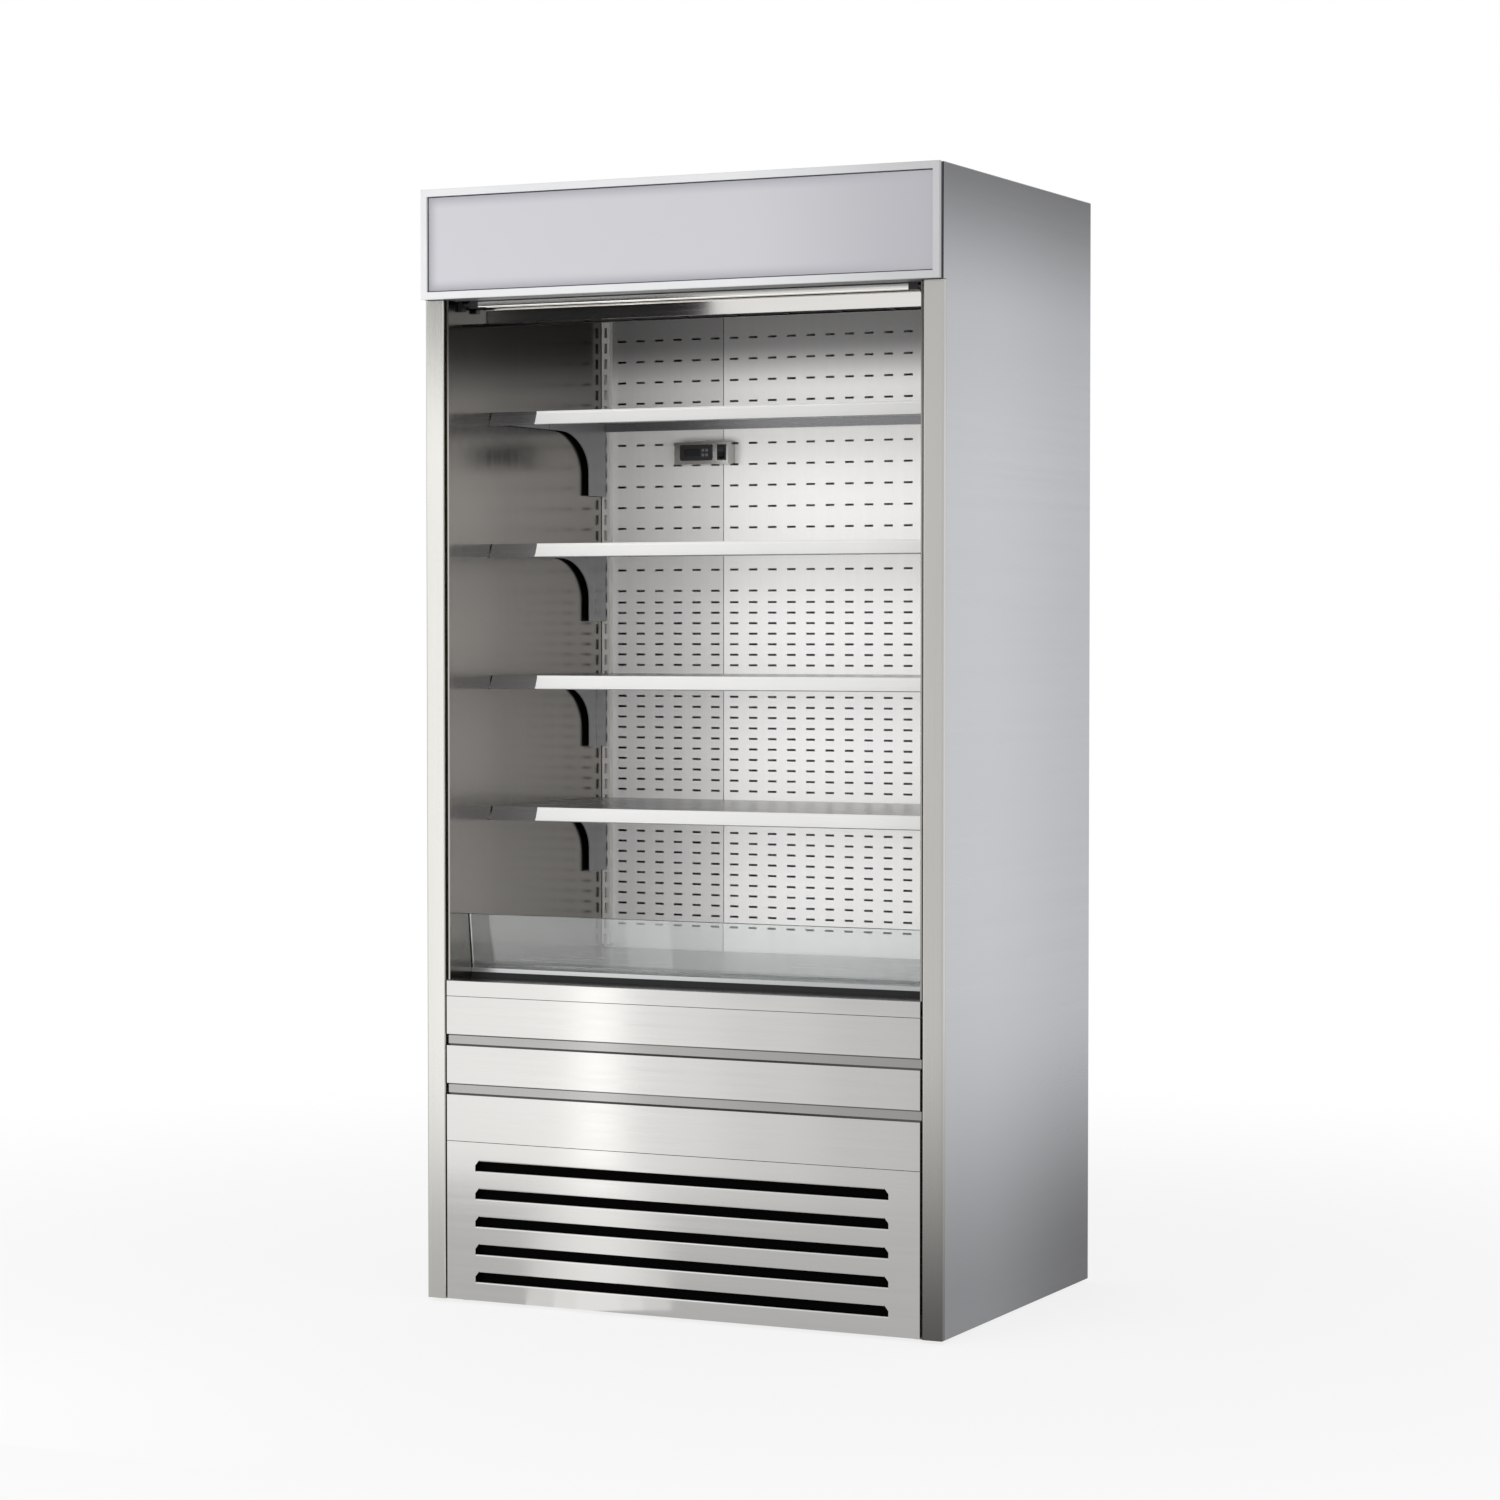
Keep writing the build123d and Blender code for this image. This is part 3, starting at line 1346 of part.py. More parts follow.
def drain_pipe():
    """The drain from the tub's floor to the condensate tray, hung by its flange."""
    radius, sheet = drain_flange
    z0 = tray_top + condensate_size[2] + drain_drop
    z1 = tub_floor + sheet
    flange = prism_z(drain_x, drain_y, radius, post_sides, tub_floor, z1)
    tube = prism_z(drain_x, drain_y, drain_radius, post_sides, z0, z1) + flange
    return tube - prism_z(drain_x, drain_y, drain_radius - drain_wall, post_sides, z0 - beyond, z1 + beyond)


def condensate_tray():
    """The tray whose water the compressor's warmth dries off."""
    z = (tray_top, tray_top + condensate_size[2])
    t = condensate_wall
    outer = block(condensate_x, condensate_y, z)
    outer = chamfer(outer.edges().filter_by(Axis.Z), condensate_corner)
    inner_x = (condensate_x[0] + t, condensate_x[1] - t)
    inner_y = (condensate_y[0] + t, condensate_y[1] - t)
    inner = block(inner_x, inner_y, (z[0] + t, z[1] + beyond))
    return outer - chamfer(inner.edges().filter_by(Axis.Z), condensate_corner - t)


def electrical_box():
    """The switch box of the refrigeration unit, with an overlapping lid."""
    over, face, rim, gap = electrical_lid
    z = (tray_top, tray_top + electrical_size[2])
    y0 = electrical_y[0]
    lid_x = (electrical_x[0] - over, electrical_x[1] + over)
    lid = block(lid_x, (y0 - face, y0 + rim), (z[0] + gap, z[1] + over))
    return block(electrical_x, electrical_y, z) + lid


def cable_gland():
    """The gland that the supply cable would leave by."""
    reach, length = gland_nut
    y0 = back - skin - length - gland_wall
    neck = prism_y(gland_x, gland_z, gland_radius, post_sides, y0, back)
    nut = prism_y(gland_x, gland_z, gland_radius + reach, 6, back - skin - length, back - skin)
    bore = prism_y(gland_x, gland_z, gland_radius - gland_wall, post_sides, y0 - beyond, back + beyond)
    return neck + nut - bore


parts["drain_and_condensate_tray"] = group(drain_pipe(), condensate_tray())
parts["electrical_box_and_gland"] = group(electrical_box(), cable_gland())
parts["refrigerant_pipes"] = refrigerant_pipes()

for name, shape in parts.items():
    export_step(shape, f"parts/{name}.step")
print(len(parts), "parts")
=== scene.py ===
# %% [markdown]
# Open multideck display fridge, dressed over its solids.
# The solids come from the frame, in metres: +Z is up, -Y faces the shopper, and the floor is z = 0.
# Each step below says what a piece or a finish is on the real cabinet, how else it could be made,
# and why this way was chosen.

# %% Load the frame
import math

import bpy
import numpy as np
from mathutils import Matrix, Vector


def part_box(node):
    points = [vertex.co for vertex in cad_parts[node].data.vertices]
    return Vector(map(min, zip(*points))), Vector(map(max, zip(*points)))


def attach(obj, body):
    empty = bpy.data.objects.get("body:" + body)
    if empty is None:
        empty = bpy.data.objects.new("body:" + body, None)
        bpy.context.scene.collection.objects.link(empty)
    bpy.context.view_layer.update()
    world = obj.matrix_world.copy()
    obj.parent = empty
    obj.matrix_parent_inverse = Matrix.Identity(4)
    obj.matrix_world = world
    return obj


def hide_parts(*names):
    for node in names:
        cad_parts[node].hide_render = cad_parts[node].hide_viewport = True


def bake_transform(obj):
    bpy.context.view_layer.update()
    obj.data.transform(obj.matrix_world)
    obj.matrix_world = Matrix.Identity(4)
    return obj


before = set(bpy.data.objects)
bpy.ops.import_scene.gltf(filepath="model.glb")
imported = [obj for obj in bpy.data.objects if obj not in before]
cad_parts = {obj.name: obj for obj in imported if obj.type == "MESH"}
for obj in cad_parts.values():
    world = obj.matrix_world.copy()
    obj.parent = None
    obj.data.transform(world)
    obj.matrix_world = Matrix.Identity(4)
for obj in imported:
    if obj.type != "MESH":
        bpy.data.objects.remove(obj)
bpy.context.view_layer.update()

# %% [markdown]
# Node maths is hard to read as a list of nodes and links. A small class wraps one output socket, and
# Python's own operators then add the Math nodes, so a mask or a gradient is one line of arithmetic.
# A group of nodes would also do, but it hides the numbers that make the finish.

# %% Arithmetic on sockets
class Value:
    """A number that varies over a surface: one output socket, with arithmetic that adds Math nodes."""

    def __init__(self, network, socket):
        self.network = network
        self.socket = socket

    def output(self, name):
        """Another output of the node that this value comes from."""
        return Value(self.network, self.socket.node.outputs[name])

    def maths(self, operation, *others):
        """One Math node that takes this value first."""
        return self.network.maths(operation, self, *others)

    def __add__(self, other):
        return self.maths("ADD", other)

    def __sub__(self, other):
        return self.maths("SUBTRACT", other)

    def __mul__(self, other):
        return self.maths("MULTIPLY", other)

    def __pow__(self, other):
        return self.maths("POWER", other)

    def __radd__(self, other):
        return self.network.maths("ADD", other, self)

    def __rsub__(self, other):
        return self.network.maths("SUBTRACT", other, self)

    def __rmul__(self, other):
        return self.network.maths("MULTIPLY", other, self)

    def above(self, edge, soft):
        """0 below edge, 1 above edge + soft, with a smooth step between."""
        settings = {"interpolation_type": "SMOOTHSTEP"}
        return self.network.node("ShaderNodeMapRange", settings, {
            "Value": self, "From Min": edge, "From Max": edge + soft})

    def between(self, start, end, soft):
        """1 from start to end, falling smoothly to 0 over soft outside them."""
        return self.above(start - soft, soft) * (1 - self.above(end, soft))


# %% [markdown]
# A network is the set of nodes of a material or of the world. One method makes any node from its type,
# its settings and the values or links of its sockets, and everything else is written with it.

# %% One class for every set of nodes
class Network:
    """Nodes made by one method and by arithmetic on Values."""

    def __init__(self, tree):
        self.nodes = tree.nodes
        self.links = tree.links

    def put(self, socket, value):
        """Gives an input socket a constant or a link."""
        if isinstance(value, Value):
            self.links.new(value.socket, socket)
        elif isinstance(value, (tuple, list)) and len(value) == 3 and len(socket.default_value) == 4:
            socket.default_value = (*value, 1.0)
        else:
            socket.default_value = value

    def node(self, kind, settings, inputs, output=0):
        """Any node: its type, then its settings, then the values or links of its sockets."""
        made = self.nodes.new(kind)
        for name, value in settings.items():
            setattr(made, name, value)
        for name, value in inputs.items():
            self.put(made.inputs[name], value)
        return Value(self, made.outputs[output])

    def maths(self, operation, *values):
        """One Math node."""
        return self.node("ShaderNodeMath", {"operation": operation}, dict(enumerate(values)))

    def mix(self, factor, a, b):
        """Colour a where factor is 0, b where it is 1."""
        return self.node("ShaderNodeMix", {"data_type": "RGBA"}, {0: factor, 6: a, 7: b}, 2)


# %% [markdown]
# A finish is one material: a network round the main shader, named for the surface of the real fridge that
# it stands for. Its patterns are in metres, so they keep their size whatever piece they lie on.

# %% One class for every finish
class Finish(Network):
    """A material round the main shader, with patterns in metres."""

    def __init__(self, name, **sockets):
        self.material = bpy.data.materials.new(name)
        self.material.use_nodes = True
        super().__init__(self.material.node_tree)
        self.shader = self.nodes["Principled BSDF"]
        self.coordinates = None
        self.set(**sockets)
        print("finish", name)

    def set(self, **sockets):
        """Sets sockets of the main shader, such as base_color or roughness."""
        for name, value in sockets.items():
            self.put(self.shader.inputs[name.replace("_", " ").title().replace("Ior", "IOR")], value)

    def place(self):
        """Object coordinates: metres in the frame, the same on every piece."""
        if self.coordinates is None:
            self.coordinates = self.node("ShaderNodeTexCoord", {}, {}, "Object")
        return self.coordinates

    def axes(self):
        """The x, y and z of the surface as three Values."""
        x = self.node("ShaderNodeSeparateXYZ", {}, {0: self.place()}, "X")
        return x, x.output("Y"), x.output("Z")

    def noise(self, scale, detail=2.0, stretch=(1.0, 1.0, 1.0), roughness=0.5):
        """Noise from 0 to 1, its cells 1 / scale metres wide, stretched along the axes."""
        where = self.node("ShaderNodeVectorMath", {"operation": "MULTIPLY"}, {
            0: self.place(), 1: tuple(scale / s for s in stretch)})
        return self.node("ShaderNodeTexNoise", {}, {
            "Vector": where, "Scale": 1.0, "Detail": detail, "Roughness": roughness})

    def bump(self, height, distance, strength=1.0):
        """Feeds a height in metres of relief to the shader's normal."""
        normal = self.node("ShaderNodeBump", {}, {
            "Height": height, "Distance": distance, "Strength": strength})
        self.put(self.shader.inputs["Normal"], normal)


# %% [markdown]
# Colours are written as the eye reads them, in sRGB from 0 to 255, and turned into the linear values
# that the shader wants. Picking linear numbers by hand makes greys come out too light.

# %% Colours
def srgb(*parts):
    """Linear colour from sRGB bytes: c / 12.92 below 0.04045, else ((c + 0.055) / 1.055) to 2.4."""
    c = np.array(parts if len(parts) == 3 else parts * 3) / 255.0
    return tuple(float(v) for v in np.where(c <= 0.04045, c / 12.92, ((c + 0.055) / 1.055) ** 2.4))


# %% [markdown]
# Most of the cabinet is brushed stainless steel. The brushing is thousands of fine scratches in one
# direction. An image of scratches would tile, and the shader's anisotropy needs tangents that loose
# triangles don't have. So noise is stretched along the grain: it shifts the tone and roughness a
# little and bends the normal across the grain, which is what spreads a reflection sideways.
# A shade is a function of place that multiplies the tone: painted shade and painted light, where the sheet
# is painted darker or lighter to stand for how light falls on it.

# %% Brushed steel
grain_stretch = 60.0
scratches_per_metre, streaks_per_metre, clouds_per_metre = 1400.0, 90.0, 2.2


def brushed(name, colour, grain, roughness=0.3, depth=0.00002, tone=0.08, shade=None, metallic=1.0):
    """Brushed steel whose scratches run along grain, one of x, y or z."""
    finish = Finish(name, metallic=metallic)
    stretch = tuple(grain_stretch if axis == grain else 1.0 for axis in "xyz")
    scratches = finish.noise(scratches_per_metre, 3.0, stretch, 0.7)
    streaks = finish.noise(streaks_per_metre, 3.0, stretch, 0.6)
    cloud = finish.noise(clouds_per_metre, 2.0)
    level = 1 + (streaks - 0.5) * tone + (scratches - 0.5) * tone + (cloud - 0.5) * tone
    if shade is not None:
        level = level * shade(finish)
    grey = finish.node("ShaderNodeVectorMath", {"operation": "SCALE"}, {0: srgb(*colour), 3: level})
    finish.set(base_color=grey, roughness=roughness + (streaks - 0.5) * 0.12 + (cloud - 0.5) * 0.06)
    finish.bump(scratches, depth)
    return finish


# %% [markdown]
# The front panels are brushed along their width and the corner trims upright. The middle panel has two
# pressed grooves. They are in the solid, and their finish is darker, because little light gets in. The
# band over the opening is polished almost to a mirror, so it has a low roughness and hardly any relief.

# %% Front panels, trims and the band over the opening
groove_height = 0.0205
groove_starts = [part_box("front_fascia")[0].z + rise for rise in (0.083, 0.1715)]


def groove_shade(finish):
    """The two grooves across the middle panel lie in shadow."""
    x, y, z = finish.axes()
    lower, upper = (z.between(start, start + groove_height, 0.0005) for start in groove_starts)
    return 1 - 0.4 * (lower + upper)


panel_steel = brushed("panel_steel", (180, 179, 177), "x", 0.15, depth=0.000012, shade=groove_shade)


def trim_light_and_shade(finish):
    """Painted light and shade: the left trim is painted lighter, most of all higher up, and the right one
    is painted darker towards the floor.
    """
    x, y, z = finish.axes()
    right = x.above(0.0, 0.001)
    lit = 0.94 + 0.2 * z.above(0.1, 0.4) + 0.18 * z.above(1.3, 0.4)
    return lit + right * (0.2 + 0.8 * z.above(-0.05, 0.62) - lit)


trim_steel = brushed("trim_steel", (182, 181, 177), "z", 0.26, shade=trim_light_and_shade)
polished_steel = brushed("polished_steel", (222, 220, 217), "x", 0.08, depth=0.0000006)


# %% [markdown]
# The side skin is one tall sheet, seen at a slant. Rolled sheet has broad soft clouds in its sheen. Over
# them
# the finish has painted shade: darker towards the top, the foot and the lower rear corner, lighter in the
# middle.

# %% Side skins
def skin_shade(finish):
    """Painted shade: soft darkening towards the top, the foot and the lower rear corner."""
    x, y, z = finish.axes()
    top = z.above(1.74, 0.3)
    foot = 1 - z.above(0.05, 0.45)
    rear = y.above(-0.2, 0.6)
    return (1.0 - 0.75 * top - 0.5 * foot - 0.25 * foot * rear) * (1.0 - 0.2 * rear)


skin_steel = brushed("skin_steel", (176, 178, 182), "y", 0.30, shade=skin_shade)

# %% [markdown]
# The inner side walls are bright rolled stainless, almost a mirror: shelves and back wall show in them,
# sharp up and down but smeared sideways by the vertical grain.

# %% Inner liners
def liner_shade(finish):
    """Painted shade: darker under the ceiling."""
    x, y, z = finish.axes()
    return 1.0 - 0.65 * z.above(1.5, 0.3)


liner_steel = brushed("liner_steel", (148, 145, 141), "z", 0.17, depth=0.00003, tone=0.10,
                      shade=liner_shade)
shelf_steel = brushed("shelf_steel", (150, 150, 152), "x", 0.26, depth=0.000005)


# %% [markdown]
# The back panels are fine-grained bright sheet. The wide right-hand one looks nearly white, and the narrow
# left-hand one is a little greyer. Under the ceiling both are in shade, so the finish darkens there.

# %% Finish of the back panels
lap_x = -0.202
lap_softness = 0.0006


def panel_shade(finish):
    """Full brightness on the right-hand panel, less on the left-hand one and up under the ceiling."""
    x, y, z = finish.axes()
    return (0.82 + 0.18 * x.above(lap_x - 0.0005, lap_softness)) * (1 - 0.75 * z.above(1.66, 0.1))


back_steel = brushed("back_steel", (250, 249, 247), "z", 0.36, shade=panel_shade, metallic=0.2)

# %% [markdown]
# Sheet that nobody polishes is galvanised: zinc that froze in flat crystals, each a slightly different
# grey. Cells of a Voronoi pattern are the usual stand-in for that spangle.

# %% Galvanised sheet
galvanised = Finish("galvanised", metallic=1.0)
crystals_per_metre = 160.0
crystal = galvanised.node("ShaderNodeTexVoronoi", {}, {
    "Vector": galvanised.place(), "Scale": crystals_per_metre}, "Color")
spangle = galvanised.node("ShaderNodeSeparateColor", {}, {"Color": crystal})
galvanised.set(base_color=galvanised.mix(spangle, srgb(150, 153, 156), srgb(178, 180, 182)),
               roughness=0.38 + spangle * 0.12)


# %% [markdown]
# Paint and moulded plastic are not smooth either: paint has orange peel, and a mould leaves a fine even
# texture. Both are a little noise in the normal and in the roughness.

# %% Painted and moulded finishes
def coated(name, colour, roughness, cell=900.0, depth=0.00003, tone=0.04, shade=None, **sockets):
    """Paint or moulded plastic with a fine even texture."""
    finish = Finish(name, **sockets)
    grain = finish.noise(cell, 2.0)
    patch = finish.noise(7.0, 2.0)
    base = srgb(*colour)
    light = tuple(min(1.0, c * (1 + tone)) for c in base)
    dark = tuple(c * (1 - tone) for c in base)
    paint = finish.mix(patch, dark, light)
    if shade is not None:
        paint = finish.node("ShaderNodeVectorMath", {"operation": "SCALE"}, {0: paint, 3: shade(finish)})
    finish.set(base_color=paint, roughness=roughness + (patch - 0.5) * 0.08)
    finish.bump(grain, depth)
    return finish


def frame_shade(finish):
    """Painted shade: the right-hand end of the header frame is painted darker, as though it turned away
    from the light.
    """
    x, y, z = finish.axes()
    return 1 - 0.27 * x.above(0.1, 0.4)


frame_white = coated("frame_white", (238, 239, 240), 0.32, depth=0.00001, shade=frame_shade)
tray_grey = coated("tray_grey", (120, 122, 125), 0.5)
black_paint = coated("black_paint", (26, 26, 27), 0.4)
black_plastic = coated("black_plastic", (22, 22, 24), 0.42, depth=0.00001)
ticket_white = coated("ticket_white", (250, 250, 248), 0.25, depth=0.000005)
grey_plastic = coated("grey_plastic", (96, 98, 100), 0.5)
opal = coated("opal", (244, 244, 238), 0.35)
foot_rubber = coated("foot_rubber", (20, 20, 20), 0.7)
rail_steel = brushed("rail_steel", (226, 225, 222), "z", 0.34, metallic=0.4)
bracket_steel = brushed("bracket_steel", (150, 150, 152), "z", 0.3, metallic=0.6)
screw_steel = coated("screw_steel", (170, 171, 173), 0.3, metallic=1.0)
lens_dark = coated("lens_dark", (16, 17, 22), 0.12, depth=0.000004)
foam = coated("foam", (214, 196, 140), 0.85, cell=350.0, depth=0.0004, tone=0.12)
bar_aluminium = coated("bar_aluminium", (226, 224, 220), 0.14, depth=0.000004, metallic=1.0)
fin_aluminium = coated("fin_aluminium", (196, 199, 203), 0.36, metallic=1.0)
copper = coated("copper", (192, 122, 88), 0.3, metallic=1.0, tone=0.15)
curtain_cloth = coated("curtain_cloth", (176, 179, 183), 0.55, metallic=0.3)

# %% [markdown]
# The sign is a milky acrylic sheet, unlit. The frame stands in front of it and shades its edges, so its
# tone falls off softly over the last few centimetres, and a thin dark gasket runs round the window.

# %% Sign
sign = Finish("sign_acrylic", specular_ior_level=0.4)
x, y, z = sign.axes()
sign_low, sign_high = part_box("header_sign_panel")
dim_edge = 0.03
window_x, window_z = 0.4878, (1.8163, 1.9817)
lit_x = x.between(sign_low.x + dim_edge, sign_high.x - dim_edge, dim_edge)
lit_z = z.between(sign_low.z + dim_edge, sign_high.z - dim_edge, dim_edge)
gasket = 1 - x.between(-window_x, window_x, 0.0004) * z.between(*window_z, 0.0004)
face = sign.mix(lit_x * lit_z, srgb(172, 172, 180), srgb(213, 213, 218))
# Painted shade: the right-hand end of the sign is painted darker, like the frame's.
face = sign.mix(x.above(0.1, 0.4), face, srgb(192, 192, 198))
sign.set(base_color=sign.mix(gasket, face, srgb(60, 60, 64)),
         roughness=0.32 + (sign.noise(5.0) - 0.5) * 0.1)

# %% [markdown]
# The glass stands in a black gasket held by a bright channel, whose upper edge shows as a light line.

# %% Glass channel
channel = Finish("glass_channel")
bright_height = 0.0075
x, y, z = channel.axes()
bright_edge = z.above(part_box("glass_clamp")[1].z - bright_height, 0.0003)
rubber_grain = channel.noise(900.0) * 0.1
channel.set(base_color=channel.mix(bright_edge, srgb(24, 24, 25), srgb(176, 178, 178)),
            metallic=bright_edge, roughness=0.6 - 0.35 * bright_edge + rubber_grain)

# %% [markdown]
# The riser is clear float glass, faintly green through its edge. Real glass is a transmissive shader.

# %% Glass
glass = Finish("riser_glass", transmission_weight=0.93, ior=1.52)
glass.set(base_color=glass.mix(glass.noise(12.0), srgb(236, 240, 240), srgb(241, 245, 244)),
          roughness=0.0)

# %% [markdown]
# New pieces are surfaces worked out with numpy: a shape is a function of two parameters, and its points
# and corners go into a mesh at once. Modelling them by hand or stacking modifiers would also do, but a
# formula says what the piece is, and a number in it can be changed.

# %% From arrays to a piece
def make_piece(name, surface, finish, body, wall=0.0, smooth=False):
    """A mesh at the origin from (points, quads); wall is a sheet's thickness behind its face."""
    points, quads = surface
    mesh = bpy.data.meshes.new(name)
    mesh.from_pydata(np.reshape(points, (-1, 3)).tolist(), [], np.reshape(quads, (-1, 4)).tolist())
    mesh.materials.append(finish.material)
    if smooth:
        mesh.shade_smooth()
    piece = bpy.data.objects.new(name, mesh)
    bpy.context.collection.objects.link(piece)
    if wall:
        solid = piece.modifiers.new("wall", "SOLIDIFY")
        solid.thickness = wall
        solid.offset = -1.0
    if body:
        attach(piece, body)
    print(name, len(mesh.polygons), "faces")
    return piece


def grid_quads(rows, columns, closed=False):
    """The corners of every cell of a grid of points; closed joins the last column to the first."""
    i = np.arange(rows - 1)[:, None]
    j = np.arange(columns if closed else columns - 1)[None, :]
    after = (j + 1) % columns
    corners = [i * columns + j, (i + 1) * columns + j, (i + 1) * columns + after, i * columns + after]
    return np.stack(corners, axis=-1)


def joined(*surfaces):
    """Several surfaces as one, their corners renumbered."""
    points = [np.reshape(p, (-1, 3)) for p, _ in surfaces]
    starts = np.cumsum([0] + [len(p) for p in points[:-1]])
    quads = [np.reshape(q, (-1, 4)) + start for (_, q), start in zip(surfaces, starts)]
    return np.concatenate(points), np.concatenate(quads)


def boxes(low, high):
    """Closed blocks, one for each row of low and high corners: each corner picks low or high per axis."""
    low, high = np.atleast_2d(low), np.atleast_2d(high)
    pick = np.array([[0, 0, 0], [1, 0, 0], [1, 1, 0], [0, 1, 0],
                     [0, 0, 1], [1, 0, 1], [1, 1, 1], [0, 1, 1]])
    sides = np.array([[0, 3, 2, 1], [4, 5, 6, 7], [0, 1, 5, 4],
                      [1, 2, 6, 5], [2, 3, 7, 6], [3, 0, 4, 7]])
    points = low[:, None, :] + pick * (high - low)[:, None, :]
    return points, sides + 8 * np.arange(len(low))[:, None, None]


# %% [markdown]
# The back wall is sheet steel pierced with rows of short slots that let the cold air out: rows 40 mm
# apart behind the upper shelves and 20 mm apart below. A dark pattern in the material would be flat, and
# a boolean per slot slow. Here the sheet is a grid whose lines run along the slots' edges, and the cells
# that are a slot both ways are left out.

# %% Sheets with slots
sheet = 0.001


def lines(start, end, middles, width):
    """The lines of a row of slots, from start to end, and which of the gaps between them are slots."""
    edges = np.sort(np.concatenate([middles - width / 2, middles + width / 2]))
    made = np.concatenate([[start], edges, [end]])
    return made, np.arange(len(made) - 1) % 2 == 1


def slotted(u, v, place):
    """A sheet over two sets of lines, put in space by place(u, v), open where both gaps are slots."""
    (across, open_across), (along, open_along) = u, v
    points = place(*np.meshgrid(across, along, indexing="ij"))
    keep = ~(open_across[:, None] & open_along[None, :])
    return points, grid_quads(len(across), len(along))[keep]


# %% [markdown]
# The back wall is two such sheets that meet in an upright lap on the left. Both lie on the face of the
# duct and share one set of rows, so the slots line up across the lap.

# %% Back panels with all their slots
duct_low, duct_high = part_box("rear_duct_panels")
slot_pitch, air_slot = 0.04, (0.018, 0.004)
columns = (np.arange(22) - 10.5) * slot_pitch
rows = np.concatenate([np.arange(0.644, 1.27, slot_pitch / 2), np.arange(1.286, 1.81, slot_pitch)])
row_lines = lines(duct_low.z, duct_high.z, rows, air_slot[1])


def on_duct(x, z):
    """Flat on the face of the duct."""
    return np.stack([x, np.full_like(x, duct_low.y), z], axis=-1)


left_lines = lines(duct_low.x, lap_x - 0.001, columns[columns < lap_x], air_slot[0])
right_lines = lines(lap_x + 0.0003, duct_high.x, columns[columns > lap_x], air_slot[0])
back_wall = joined(*(slotted(panel, row_lines, on_duct) for panel in (left_lines, right_lines)))
duct_panels = make_piece("duct_panels", back_wall, back_steel, "cabinet",
                         wall=sheet)
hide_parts("rear_duct_panels")


# %% [markdown]
# The lower front panel is a shallow pan with five long slots. The sheet is rolled inwards along each
# slot, so no sharp edge shows and the slot looks black and deep. It is the slotted sheet again, folded
# back at its four edges, with a rolled lip carried along the top and bottom of every slot.

# %% Front panel with rolled slots
pan_low, pan_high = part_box("louvre_panel")
pan_depth = pan_high.y - pan_low.y
slot_count, slot_end, slot_height, roll, corner_cut = 5, 0.404, 0.0225, 0.003, 0.008
slot_tops = pan_high.z - 0.0315 - 0.05 * np.arange(slot_count)[::-1]


def on_pan(x, z):
    """Flat within the panel's edges; what lies past an edge runs back from it."""
    past_x = np.maximum(np.abs(x) - pan_high.x, 0.0)
    past_z = np.maximum(np.maximum(pan_low.z - z, z - pan_high.z), 0.0)
    y = pan_low.y + past_x + past_z
    return np.stack([np.clip(x, pan_low.x, pan_high.x), y, np.clip(z, pan_low.z, pan_high.z)], axis=-1)


pan_x = np.array([pan_low.x - pan_depth, pan_low.x, -slot_end, slot_end, pan_high.x,
                  pan_high.x + pan_depth])
levels = slot_tops[:, None] + np.array([-slot_height, -0.010, 0.0])
pan_z = np.concatenate([[pan_low.z - pan_depth, pan_low.z], levels.ravel(),
                        [pan_high.z, pan_high.z + pan_depth]])
grid_x, grid_z = np.meshgrid(pan_x, pan_z, indexing="ij")
cut = np.isin(np.round(grid_z, 6), np.round(slot_tops, 6)) * corner_cut
grid_x = np.where(np.isclose(np.abs(grid_x), slot_end), grid_x - np.sign(grid_x) * cut, grid_x)
print("pan depth", round(pan_depth, 4))

# %% [markdown]
# Some cells of this grid aren't sheet: the slots, and the four corners where two folds would meet, which
# a metalworker cuts away before folding. A row of yes and no for each direction says which cells those are.

# %% Which cells of the pan are sheet
folded_x = np.array([True, False, False, False, True])
folded_z = np.concatenate([[True], np.zeros(len(pan_z) - 3, bool), [True]])
slot_x = np.arange(len(pan_x) - 1) == 2
slot_z = np.concatenate([[False, False], np.tile([True, True, False], slot_count), [False]])
fold_corner = folded_x[:, None] & folded_z[None, :]
in_slot = slot_x[:, None] & slot_z[None, :len(pan_z) - 1]
pan_cells = grid_quads(len(pan_x), len(pan_z))[~fold_corner & ~in_slot]
pan_face = (on_pan(grid_x, grid_z), pan_cells)
print(len(pan_cells), "cells of sheet")


# %% [markdown]
# A bevel would round every edge of the panel alike. Only the slots are rolled, so the lip is a profile of
# its own, a quarter round and a short flange, carried along each slot.

# %% Rolled lips of the slots
def lip(half, height, up):
    """A quarter round of radius roll from the face, then straight back 10 mm.

    It runs from -half to half; up is 1 for the lip under a slot and -1 for the one over it.
    """
    turn = np.linspace(0.0, math.pi / 2, 6)
    back = np.concatenate([pan_low.y + roll * (1 - np.cos(turn)), [pan_low.y + 0.013]])
    rise = np.concatenate([height + up * roll * (np.sin(turn) - 1), [height]])
    if up < 0:
        back, rise = back[::-1], rise[::-1]
    ends = np.array([-half, half])[:, None]
    points = np.stack([ends + 0 * back, back + 0 * ends, rise + 0 * ends], axis=-1)
    return points, grid_quads(2, len(back))


lips = [lip(slot_end, top - slot_height + roll, 1) for top in slot_tops]
lips += [lip(slot_end - corner_cut, top - roll, -1) for top in slot_tops]
louvres = make_piece("louvres", joined(pan_face, *lips), panel_steel, "louvre_panel",
                     wall=sheet)
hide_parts("louvre_panel")


# %% [markdown]
# A pad of near-black foam, shaped as a dust filter, sits behind the slots: a dark sheet that stands in for
# the shade there, so the slots show black and nothing shows through them. Foam is a mass of tiny holes, so
# its finish is rough with a coarse bump.

